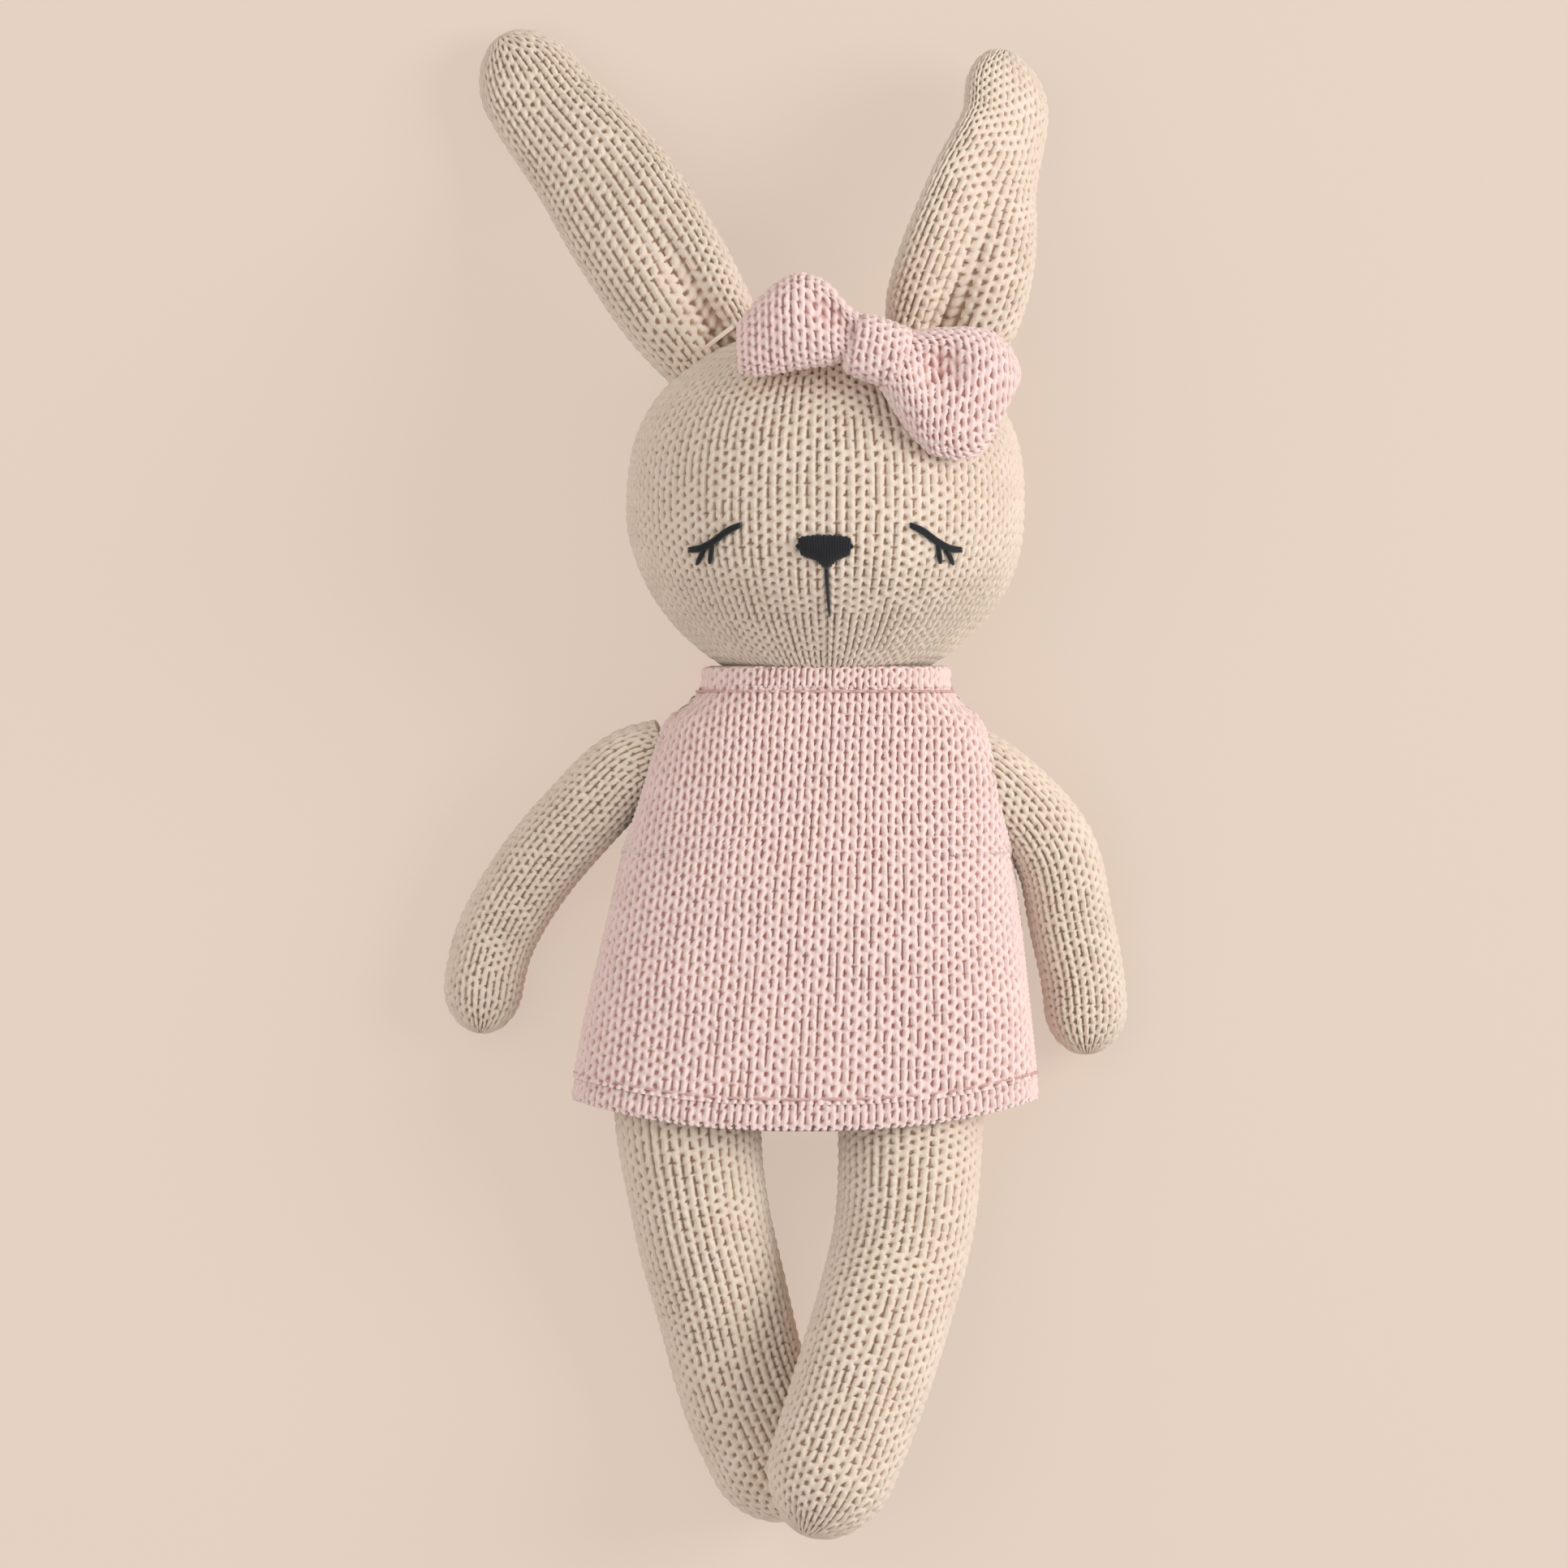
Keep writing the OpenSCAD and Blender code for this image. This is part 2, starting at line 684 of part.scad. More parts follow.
function on_face(x, y, up) = [x, y, face_z(x, y) + up];

module stitched(points, r = thread_r) {
    color(charcoal) cord([for (p = points) on_face(p[0], p[1], r + 0.45)], r);
}

// A closed eye: its lid slopes down outwards, with lashes at its outer end
module eye(side) {
    inner = [collar_x - 0.6 + side * eye_gap / 2, head_y - 4];
    drop = eye_w * 0.52;
    lid = [for (i = [0 : 5]) let (t = i / 5) inner + [side * eye_w * t, -drop * t + 1.2 * sin(180 * t) * -1]];
    stitched(lid);
    for (k = [0, 1]) {
        from = inner + [side * eye_w * (0.62 + 0.2 * k), -drop * (0.62 + 0.2 * k) - 2.6];
        stitched([from, from + [side * (0.2 + 0.9 * k), -2.6]]);
    }
}

module eye_left() {
    eye(-1);
}

module eye_right() {
    eye(1);
}

module nose() {
    n = 16;
    centre = [collar_x - 0.7, head_y - 10.5];
    steps = [[1, 0.35], [0.98, 1.3], [0.7, 1.9]];
    color(charcoal) skin([for (s = steps)
        [for (i = [0 : n - 1])
            let (t = 360 * i / n, narrow = sin(t) < 0 ? 1 + 0.35 * sin(t) : 1,
                 x = centre.x + s[0] * nose_w / 2 * cos(t) * narrow, y = centre.y + s[0] * nose_h / 2 * sin(t))
            on_face(x, y, s[1])]]);
}

module mouth() {
    top = [collar_x - 0.5, head_y - 10.5 - nose_h / 2 - 0.9];
    stitched([for (i = [0 : 5]) top + [0.9 * i / 5, -mouth_l * i / 5]], thread_r * 0.8);
}

head_cover();
head_stuffing();
ear_left_cover();
ear_left_filling();
ear_right_cover();
ear_right_filling();
body_cover();
body_stuffing();
arm_left_cover();
arm_left_stuffing();
arm_right_cover();
arm_right_stuffing();
leg_left_cover();
leg_left_stuffing();
leg_right_cover();
leg_right_stuffing();
dress_front();
dress_back();
collar_band();
hem_band();
collar_topstitch();
hem_topstitch();
armhole_edge_left();
armhole_edge_right();
dress_seam_left();
dress_seam_right();
bow_band();
bow_knot();
bow_thread();
eye_left();
eye_right();
nose();
mouth();
neck_seam();
ear_seam_left();
ear_seam_right();
shoulder_seam_left();
shoulder_seam_right();
hip_seam_left();
hip_seam_right();
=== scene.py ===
"""A knitted toy rabbit in a pink knitted dress with a bow, lying on its back.

+X is the viewer's right, +Y points to the ears and +Z comes out of the face. Lengths are in millimetres inside
the classes and are turned into metres when a mesh is made.
"""

import logging
from dataclasses import dataclass, field
from enum import Enum

import bpy
import numpy as np
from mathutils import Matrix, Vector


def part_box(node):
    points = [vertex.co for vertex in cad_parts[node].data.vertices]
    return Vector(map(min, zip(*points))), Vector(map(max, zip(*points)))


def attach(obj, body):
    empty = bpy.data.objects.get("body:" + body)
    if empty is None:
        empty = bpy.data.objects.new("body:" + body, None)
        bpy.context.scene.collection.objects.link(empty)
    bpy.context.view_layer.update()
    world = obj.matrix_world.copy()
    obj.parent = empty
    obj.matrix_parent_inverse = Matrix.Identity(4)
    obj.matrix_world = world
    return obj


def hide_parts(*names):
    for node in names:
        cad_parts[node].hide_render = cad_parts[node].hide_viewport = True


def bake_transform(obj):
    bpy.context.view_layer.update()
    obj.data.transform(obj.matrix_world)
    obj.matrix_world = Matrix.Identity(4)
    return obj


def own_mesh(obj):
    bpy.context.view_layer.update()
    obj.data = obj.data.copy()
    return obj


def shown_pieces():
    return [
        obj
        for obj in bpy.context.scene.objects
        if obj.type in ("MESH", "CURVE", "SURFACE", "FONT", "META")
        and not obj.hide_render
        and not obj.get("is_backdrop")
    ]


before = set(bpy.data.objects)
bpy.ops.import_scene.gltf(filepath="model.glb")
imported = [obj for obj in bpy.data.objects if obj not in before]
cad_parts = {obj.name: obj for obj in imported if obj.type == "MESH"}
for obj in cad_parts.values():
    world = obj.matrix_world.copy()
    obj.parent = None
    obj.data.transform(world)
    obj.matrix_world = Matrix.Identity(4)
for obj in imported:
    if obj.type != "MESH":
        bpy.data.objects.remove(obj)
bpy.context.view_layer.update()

log = logging.getLogger("rabbit")
logging.basicConfig(level=logging.INFO, format="%(name)s: %(message)s")

MM = 0.001
Array = np.ndarray
Colour = tuple[float, float, float]
Place = tuple[float, float, float]


class Slot(Enum):
    """The record's material slots."""

    BEIGE = "beige_knit"
    PINK = "pink_knit"
    FIBRE = "fibre"
    ROSE = "rose_thread"
    CHARCOAL = "charcoal_thread"


# ---------- numbers and curves ----------


def smooth(t: Array | float) -> Array | float:
    """Ease from 0 to 1.

    Args:
        t: share of the way; outside 0 to 1 it is held.

    Returns:
        3t squared minus 2t cubed.
    """
    u = np.clip(t, 0.0, 1.0)
    return u * u * (3.0 - 2.0 * u)


def mix(a: Array | float, b: Array | float, t: Array | float) -> Array | float:
    """Go from a to b.

    Args:
        a: value at 0.
        b: value at 1.
        t: share of the way.

    Returns:
        a plus t times the difference.
    """
    return a + (b - a) * t


def bump(x: Array | float, at: float, width: float) -> Array | float:
    """A bell.

    Args:
        x: where it is read.
        at: the bell's middle.
        width: distance at which it has fallen to about a third.

    Returns:
        The exponential of minus the squared distance over the width.
    """
    return np.exp(-(((x - at) / width) ** 2))


def unit(vectors: Array) -> Array:
    """Bring vectors to unit length.

    Args:
        vectors: the vectors, along the last axis.

    Returns:
        Their directions.
    """
    return vectors / np.maximum(np.linalg.norm(vectors, axis=-1, keepdims=True), 1e-9)


def squared(wave: Array, square: float) -> Array:
    """Turn a circle's sine or cosine into a squared oval's.

    Args:
        wave: the sine or cosine.
        square: 2 is an ellipse, and more is squarer.

    Returns:
        Its size raised to two over the squareness, with its sign.
    """
    return np.sign(wave) * np.abs(wave) ** (2 / square)


def curve_through(points: Array, count: int) -> Array:
    """A smooth line through points.

    Each stretch is a Catmull-Rom cubic, and the result is spaced evenly along its length.

    Args:
        points: the points, one a row.
        count: how many points to return.

    Returns:
        The points of the line.
    """
    p = np.asarray(points, float)
    padded = np.vstack([2 * p[0] - p[1], p, 2 * p[-1] - p[-2]])
    t = np.linspace(0, len(p) - 1, 40 * len(p))
    i = np.minimum(t.astype(int), len(p) - 2)
    f = (t - i)[:, None]
    a, b, c, d = padded[i], padded[i + 1], padded[i + 2], padded[i + 3]
    line = 0.5 * (2 * b + (c - a) * f + (2 * a - 5 * b + 4 * c - d) * f**2 + (3 * b - a - 3 * c + d) * f**3)
    length = np.concatenate([[0], np.cumsum(np.linalg.norm(np.diff(line, axis=0), axis=1))])
    at = np.linspace(0, length[-1], count)
    return np.column_stack([np.interp(at, length, line[:, k]) for k in range(p.shape[1])])


def along_steps(values: tuple[float, ...], share: Array) -> Array:
    """Read a smooth line through values that stand at even steps.

    Args:
        values: the values.
        share: where it is read, from 0 to 1.

    Returns:
        The value at each place.
    """
    line = curve_through(np.column_stack([np.linspace(0, 1, len(values)), values]), 200)
    return np.interp(share, line[:, 0], line[:, 1])


class Wander:
    """Smooth seeded noise on a square lattice that wraps round, between -1 and 1."""

    def __init__(self, seed: int, size: int = 64) -> None:
        self.size = size
        self.values = np.random.default_rng(seed).uniform(-1, 1, (size, size))

    def at(self, u: Array, v: Array) -> Array:
        """Read the noise.

        Args:
            u: place along the lattice, one unit a value.
            v: place across the lattice.

        Returns:
            The eased mean of the four nearest values.
        """
        i, j = np.floor(u).astype(int), np.floor(v).astype(int)
        f, g = smooth(u - i), smooth(v - j)
        n = self.size
        low = mix(self.values[i % n, j % n], self.values[(i + 1) % n, j % n], f)
        high = mix(self.values[i % n, (j + 1) % n], self.values[(i + 1) % n, (j + 1) % n], f)
        return mix(low, high, g)


# ---------- knitting ----------


@dataclass(frozen=True)
class Gauge:
    """The size of one knitted stitch.

    Attributes:
        wale: width of a stitch.
        course: height of a stitch.
        yarn: radius of the yarn.
        relief: how much of the yarn's full height shows.
    """

    wale: float = 5.0
    course: float = 3.4
    yarn: float = 0.97
    relief: float = 0.78


@dataclass
class Relief:
    """The height of knitted fabric over one stitch, repeated everywhere.

    Two legs of yarn make a V. Each leg is a plump grain that leans outwards as it rises and dips at its foot, so
    hollows lie between the legs and, half a course lower, between the wales. The height is the top of the round
    yarn, or the yarn behind where there is none.

    Attributes:
        gauge: the size of the stitch.
        samples: how many places are worked out each way.
        lean: distance of a leg from the stitch's middle at its foot and its top, as shares of a wale.
        length: height of a leg, as a share of a course.
        depth: how far a leg rises from its foot.
        behind: height of the yarn behind.
    """

    gauge: Gauge = field(default_factory=Gauge)
    samples: int = 72
    lean: tuple[float, float] = (0.125, 0.36)
    length: float = 0.95
    depth: float = 0.75
    behind: float = -0.3

    def __post_init__(self) -> None:
        g, n = self.gauge, self.samples
        u = np.arange(n) / n - 0.5
        v = np.arange(n) / n
        across, along = np.meshgrid(u, v)
        height = np.full((n, n), self.behind)
        steps = np.linspace(0, 1, 41)
        middle = mix(*self.lean, steps)
        rise = self.depth * np.sin(np.pi * (0.03 + 0.52 * steps)) ** 0.8
        radius = g.yarn * (0.68 + 0.32 * np.sin(np.pi * steps))
        for side in (-1, 1):
            for shift in (-1, 0, 1):
                for lower in (-2, -1, 0, 1):
                    for x, y, z, r in zip(middle, steps * self.length, rise, radius):
                        far = ((across - side * x - shift) * g.wale) ** 2 + ((along - y - lower) * g.course) ** 2
                        top = z + np.sqrt(np.clip(r * r - far, 0, None))
                        height = np.where(far < r * r, np.maximum(height, top), height)
        self.cell = (height - height.max()) * g.relief
        self.deepest = -float(self.cell.min())

    def at(self, u: Array, v: Array) -> Array:
        """Read the height.

        Args:
            u: place across the wales, one unit a stitch.
            v: place along the wales, one unit a stitch.

        Returns:
            The height under the top of the yarn, from 0 down.
        """
        n = self.samples
        x, y = (u + 0.5) * n, v * n
        i, j = np.floor(x).astype(int), np.floor(y).astype(int)
        f, g = x - i, y - j
        c = self.cell
        low = mix(c[j % n, i % n], c[j % n, (i + 1) % n], f)
        high = mix(c[(j + 1) % n, i % n], c[(j + 1) % n, (i + 1) % n], f)
        return mix(low, high, g)


RELIEF = Relief()


@dataclass
class Surface:
    """A grid of points with the stitches that lie on it.

    Attributes:
        points: rows by columns by 3, in millimetres.
        u: place across the wales at each point.
        v: place along the wales at each point.
        closed: whether the last column joins the first.
        seed: picks the small differences between stitches.
        strength: share of the relief that shows, one number or one for each point.
        fold: painted shade in folds: how far each point lies in a fold, added to its depth so that the yarn is
            painted darker there.
    """

    points: Array
    u: Array
    v: Array
    closed: bool = True
    seed: int = 1
    strength: Array | float = 1.0
    fold: Array | float = 0.0

    def normals(self) -> Array:
        """Find the outward directions.

        Returns:
            The cross product of the steps along the columns and the rows, at unit length.
        """
        p = self.points
        if self.closed:
            across = np.roll(p, -1, axis=1) - np.roll(p, 1, axis=1)
        else:
            across = np.gradient(p, axis=1)
        along = np.gradient(p, axis=0)
        return unit(np.cross(across, along))

    def knitted(self) -> tuple[Array, Array]:
        """Raise the stitches.

        Each stitch is read a little off its place, by smooth noise, so that no two are alike.

        Returns:
            The moved points, and how deep each lies between the yarns from 0 to 1 with the folds' painted shade
            added, which sets the painted gap shade.
        """
        drift, size = Wander(self.seed), Wander(self.seed + 50)
        u = self.u + 0.045 * drift.at(self.u * 1.1, self.v * 0.9)
        u = u + 0.05 * drift.at(self.u * 0.21 + 9, self.v * 0.17)
        v = self.v + 0.08 * size.at(self.u * 1.0 + 5, self.v * 0.8)
        v = v + 0.08 * size.at(self.u * 0.3, self.v * 0.25 + 7)
        height = RELIEF.at(u, -v)
        uneven = 1 + 0.18 * drift.at(self.u * 0.9 + 31, self.v * 0.9 + 17)
        lift = height * uneven * self.strength
        loose = 0.1 * size.at(self.u * 2 + 3, self.v * 1.0 + 11) * self.strength
        # Painted shade: depth between the yarns, plus painted shade in folds, picks how much gap colour a point
        # takes.
        deep = np.clip(-height / RELIEF.deepest + self.fold, 0, 1)
        return self.points + self.normals() * (lift + loose)[..., None], deep


# ---------- meshes ----------


class MeshBuilder:
    """Collects points and faces of one piece and makes a mesh object of them.

    Faces that aren't in a grid stay flat where crisp_edges is set, and facing holds the first points' normals.
    """

    def __init__(self, name: str) -> None:
        self.name = name
        self.points: list[Array] = []
        self.deep: list[Array] = []
        self.uv: list[Array] = []
        self.faces: list[list[int]] = []
        self.quads: list[Array] = []
        self.count = 0
        self.crisp_edges = False
        self.facing: Array | None = None

    def add_points(self, points: Array, deep: Array | None = None, uv: Array | None = None) -> int:
        """Add points.

        Args:
            points: the points in millimetres, in any grid shape.
            deep: how deep each lies between the yarns, or None for 0.
            uv: the place of each among the stitches, or None for 0.

        Returns:
            The number of the first one.
        """
        flat = points.reshape(-1, 3)
        first = self.count
        self.points.append(flat)
        self.deep.append(np.zeros(len(flat)) if deep is None else deep.reshape(-1))
        self.uv.append(np.zeros((len(flat), 2)) if uv is None else uv.reshape(-1, 2))
        self.count += len(flat)
        return first

    def add_grid(self, first: int, rows: int, columns: int, closed: bool, flip: bool = False) -> None:
        """Add the faces of a grid of points.

        Args:
            first: number of the grid's first point.
            rows: how many rows.
            columns: how many columns.
            closed: whether the last column joins the first.
            flip: whether the faces look the other way.
        """
        wide = columns if closed else columns - 1
        j, i = np.meshgrid(np.arange(rows - 1), np.arange(wide), indexing="ij")
        a = first + j * columns + i
        b = first + j * columns + (i + 1) % columns
        quad = np.stack([a, b, b + columns, a + columns], axis=-1).reshape(-1, 4)
        self.quads.append(quad[:, ::-1] if flip else quad)

    def add_fan(self, ring: Array, centre: Array, flip: bool, deep: float = 0.0) -> None:
        """Close a ring of points with triangles.

        Args:
            ring: the numbers of the ring's points.
            centre: the point in the middle.
            flip: whether the faces look the other way.
            deep: how deep the middle lies between the yarns.
        """
        middle = self.add_points(centre[None, :], np.array([deep]))
        after = np.roll(ring, -1)
        pair = (after, ring) if flip else (ring, after)
        self.faces.extend(np.column_stack([*pair, np.full(len(ring), middle)]).tolist())

    def build(self) -> bpy.types.Object:
        """Make the object.

        Returns:
            A smooth-shaded mesh object at the origin, in metres, with its stitch places as a UV map.
        """
        mesh = bpy.data.meshes.new(self.name)
        points = np.vstack(self.points) * MM
        quads = np.vstack(self.quads) if self.quads else np.zeros((0, 4), int)
        mesh.from_pydata(points.tolist(), [], quads.tolist() + self.faces)
        deep = mesh.attributes.new("deep", "FLOAT", "POINT")
        deep.data.foreach_set("value", np.concatenate(self.deep).astype(np.float32))
        corners = np.empty(len(mesh.loops), np.int32)
        mesh.loops.foreach_get("vertex_index", corners)
        layer = mesh.uv_layers.new(name="stitches")
        layer.data.foreach_set("uv", np.vstack(self.uv)[corners].astype(np.float32).reshape(-1))
        rounded = np.ones(len(mesh.polygons), bool)
        if self.crisp_edges:
            rounded[len(quads) :] = False
        mesh.polygons.foreach_set("use_smooth", rounded)
        mesh.update()
        if self.facing is not None:
            unset = np.zeros((len(points) - len(self.facing), 3))
            mesh.normals_split_custom_set_from_vertices(np.vstack([self.facing, unset]).tolist())
        made = bpy.data.objects.new(self.name, mesh)
        bpy.context.scene.collection.objects.link(made)
        log.info("%s: %d faces", self.name, len(mesh.polygons))
        return made


def tube_piece(name: str, surface: Surface) -> bpy.types.Object:
    """Make a closed knitted tube, with a fan at each end.

    Args:
        name: the piece's name.
        surface: its grid, whose rows run along the tube.

    Returns:
        The mesh object.
    """
    points, deep = surface.knitted()
    rows, columns = deep.shape
    build = MeshBuilder(name)
    first = build.add_points(points, deep, np.stack([surface.u, surface.v], axis=-1))
    build.add_grid(first, rows, columns, closed=True)
    # The ends' middles take part of the painted gap shade.
    build.add_fan(first + np.arange(columns), points[0].mean(axis=0), flip=True, deep=0.5)
    build.add_fan(first + (rows - 1) * columns + np.arange(columns), points[-1].mean(axis=0), flip=False, deep=0.5)
    return build.build()


def filling_piece(name: str, surface: Surface, first_row: int, inset: float = 2.8) -> bpy.types.Object:
    """Make what fills a cover: a smooth coarse copy of its surface, drawn in.

    Args:
        name: the piece's name.
        surface: the cover's outside.
        first_row: the cover's row where it starts.
        inset: how far inside the cover it lies.

    Returns:
        The mesh object.
    """
    points = (surface.points - surface.normals() * inset)[first_row:-20:5, ::4]
    rows, columns = points.shape[:2]
    build = MeshBuilder(name)
    first = build.add_points(points)
    build.add_grid(first, rows, columns, closed=True)
    build.add_fan(first + np.arange(columns), points[0].mean(axis=0), flip=True)
    build.add_fan(first + (rows - 1) * columns + np.arange(columns), points[-1].mean(axis=0), flip=False)
    return build.build()


def panel_piece(name: str, surface: Surface, inside: Array, part: slice) -> bpy.types.Object:
    """Make a knitted panel: stitches outside, smooth inside and closed round its edges.

    Args:
        name: the piece's name.
        surface: the outside grid of the whole panel, with an even number of steps each way.
        inside: the points of its inside.
        part: the rows that this piece takes.

    Returns:
        The mesh object.
    """
    points, deep = surface.knitted()
    facing = Surface(points, surface.u, surface.v, False).normals()[part].reshape(-1, 3)
    points, deep, inside = points[part], deep[part], inside[part][::2, ::2]
    rows, columns = deep.shape
    build = MeshBuilder(name)
    first = build.add_points(points, deep, np.stack([surface.u[part], surface.v[part]], axis=-1))
    build.facing = facing
    build.add_grid(first, rows, columns, closed=False)
    # The inside takes part of the painted gap shade.
    back = build.add_points(inside, np.full(inside.shape[:2], 0.4))
    in_rows, in_columns = inside.shape[:2]
    build.add_grid(back, in_rows, in_columns, closed=False, flip=True)
    outer = first + np.arange(rows * columns).reshape(rows, columns)
    inner = back + np.arange(in_rows * in_columns).reshape(in_rows, in_columns)
    edges = (
        (outer[0], inner[0], True),
        (outer[-1], inner[-1], False),
        (outer[:, 0], inner[:, 0], False),
        (outer[:, -1], inner[:, -1], True),
    )
    for out, near, flip in edges:
        rim = np.column_stack([out[:-1:2], out[1::2], out[2::2], near[1:], near[:-1]])
        build.faces.extend((rim[:, ::-1] if flip else rim).tolist())
    build.crisp_edges = True
    return build.build()


def thread_points(path: Array, radius: Array | float, sides: int, up: Array) -> Array:
    """Points round a path.

    Args:
        path: points of the path.
        radius: radius of the thread, one number or one for each point.
        sides: how many points go round it.
        up: a direction that the path never follows.

    Returns:
        Rows along the path by points round it.
    """
    along = unit(np.gradient(path, axis=0))
    side = unit(np.cross(along, up))
    lift = np.cross(side, along)
    turn = np.linspace(0, 2 * np.pi, sides, endpoint=False)
    size = np.broadcast_to(np.asarray(radius, float), (len(path),))[:, None, None]
    ring = side[:, None, :] * np.cos(turn)[None, :, None] + lift[:, None, :] * np.sin(turn)[None, :, None]
    return path[:, None, :] + ring * size


def threads_piece(
    name: str,
    paths: list[Array],
    radius: Array | float,
    up: Array,
    sides: int = 8,
    taper: float = 0.0,
    loop: bool = False,
) -> bpy.types.Object:
    """Make one piece of several threads.

    Args:
        name: the piece's name.
        paths: the threads' paths.
        radius: the thread's radius.
        up: a direction that no path follows.
        sides: how many points go round a thread.
        taper: share by which the ends are thinner than the middle.
        loop: whether each path closes on itself.

    Returns:
        The mesh object.
    """
    build = MeshBuilder(name)
    for path in paths:
        share = np.linspace(-1, 1, len(path))
        size = radius * (1 - taper * share**4)
        ring = thread_points(path, size, sides, up)
        around, along = np.arange(sides)[None, :] / sides, np.arange(len(path))[:, None] * 0.25
        twist = np.stack(np.broadcast_arrays(around, along), axis=-1)
        first = build.add_points(ring, None, twist)
        build.add_grid(first, len(path), sides, closed=True, flip=True)
        if not loop:
            build.add_fan(first + np.arange(sides), path[0], flip=False)
            build.add_fan(first + (len(path) - 1) * sides + np.arange(sides), path[-1], flip=True)
        else:
            last = first + (len(path) - 1) * sides
            i = np.arange(sides)
            build.quads.append(
                np.stack([first + i, first + (i + 1) % sides, last + (i + 1) % sides, last + i], axis=-1)
            )
    return build.build()


# ---------- finishes ----------


class NodeBoard:
    """Adds and joins the nodes of one tree."""

    def __init__(self, tree: bpy.types.NodeTree) -> None:
        self.tree = tree

    def add(self, kind: str, values: dict[str, float] | None = None, **settings: object) -> bpy.types.Node:
        """Add a node.

        Args:
            kind: its type name.
            values: the constants on its sockets.
            **settings: its properties.

        Returns:
            The node.
        """
        node = self.tree.nodes.new(kind)
        for key, value in settings.items():
            setattr(node, key, value)
        for socket, value in (values or {}).items():
            node.inputs[socket].default_value = value
        return node

    def join(self, source: bpy.types.NodeSocket, target: bpy.types.NodeSocket) -> None:
        """Join two sockets.

        Args:
            source: the output.
            target: the input.
        """
        self.tree.links.new(source, target)


def yarn_group() -> bpy.types.NodeTree:
    """Make the shared yarn effect: painted shade between the stitches, and the fibres' small relief.

    Returns:
        A node group with the yarn's colours in, and a colour and a height out.
    """
    tree = bpy.data.node_groups.new("Yarn", "ShaderNodeTree")
    face = tree.interface
    for name in ("Yarn", "Shade", "PaintedGapShade"):
        face.new_socket(name=name, in_out="INPUT", socket_type="NodeSocketColor")
    face.new_socket(name="Colour", in_out="OUTPUT", socket_type="NodeSocketColor")
    face.new_socket(name="Height", in_out="OUTPUT", socket_type="NodeSocketFloat")
    board = NodeBoard(tree)
    entry = board.add("NodeGroupInput")
    leave = board.add("NodeGroupOutput")
    deep = board.add("ShaderNodeAttribute", attribute_name="deep")
    place = board.add("ShaderNodeUVMap", uv_map="stitches")
    patches = board.add("ShaderNodeTexNoise", {"Scale": 0.35, "Detail": 3.0})
    board.join(place.outputs["UV"], patches.inputs["Vector"])
    fibres = board.add("ShaderNodeTexNoise", {"Scale": 9.0, "Detail": 4.0})
    board.join(place.outputs["UV"], fibres.inputs["Vector"])
    tone = board.add("ShaderNodeMapRange", {"From Min": 0.35, "From Max": 0.7})
    board.join(patches.outputs["Fac"], tone.inputs["Value"])
    mottled = board.add("ShaderNodeMix", data_type="RGBA")
    board.join(tone.outputs["Result"], mottled.inputs["Factor"])
    board.join(entry.outputs["Yarn"], mottled.inputs["A"])
    board.join(entry.outputs["Shade"], mottled.inputs["B"])
    # Painted shade: the deeper a point lies between the yarns, the more of the gap colour it takes, standing for
    # the shadow in the holes.
    span = {"From Min": 0.3, "From Max": 0.85}
    hollow = board.add("ShaderNodeMapRange", span, interpolation_type="SMOOTHSTEP")
    board.join(deep.outputs["Fac"], hollow.inputs["Value"])
    colour = board.add("ShaderNodeMix", data_type="RGBA")
    board.join(hollow.outputs["Result"], colour.inputs["Factor"])
    board.join(mottled.outputs["Result"], colour.inputs["A"])
    board.join(entry.outputs["PaintedGapShade"], colour.inputs["B"])
    board.join(colour.outputs["Result"], leave.inputs["Colour"])
    board.join(fibres.outputs["Fac"], leave.inputs["Height"])
    return tree


@dataclass(frozen=True)
class YarnFinish:
    """A woolly finish.

    Attributes:
        name: the material's name.
        slot: the record's slot.
        yarn: the yarn's colour.
        shade: its colour in darker patches.
        gap: painted shade between the stitches, a colour that stands for the shadow in the holes.
        sheen: how much soft light its fuzz catches.
        fuzz: height of the fibres' relief.
    """

    name: str
    slot: Slot
    yarn: Colour
    shade: Colour
    gap: Colour
    sheen: float = 0.25
    fuzz: float = 0.00025

    def make(self, group: bpy.types.NodeTree) -> bpy.types.Material:
        """Make the material.

        Args:
            group: the shared yarn effect.

        Returns:
            The material.
        """
        material = bpy.data.materials.new(self.name)
        material.use_nodes = True
        board = NodeBoard(material.node_tree)
        shader = material.node_tree.nodes["Principled BSDF"]
        effect = board.add("ShaderNodeGroup", node_tree=group)
        # The gap colour is painted shade between the stitches.
        for socket, colour in (("Yarn", self.yarn), ("Shade", self.shade), ("PaintedGapShade", self.gap)):
            effect.inputs[socket].default_value = (*colour, 1.0)
        raised = board.add("ShaderNodeBump", {"Strength": 0.6, "Distance": self.fuzz})
        board.join(effect.outputs["Colour"], shader.inputs["Base Color"])
        board.join(effect.outputs["Height"], raised.inputs["Height"])
        board.join(raised.outputs["Normal"], shader.inputs["Normal"])
        shader.inputs["Roughness"].default_value = 0.92
        shader.inputs["Specular IOR Level"].default_value = 0.12
        shader.inputs["Sheen Weight"].default_value = self.sheen
        shader.inputs["Sheen Roughness"].default_value = 0.55
        return material


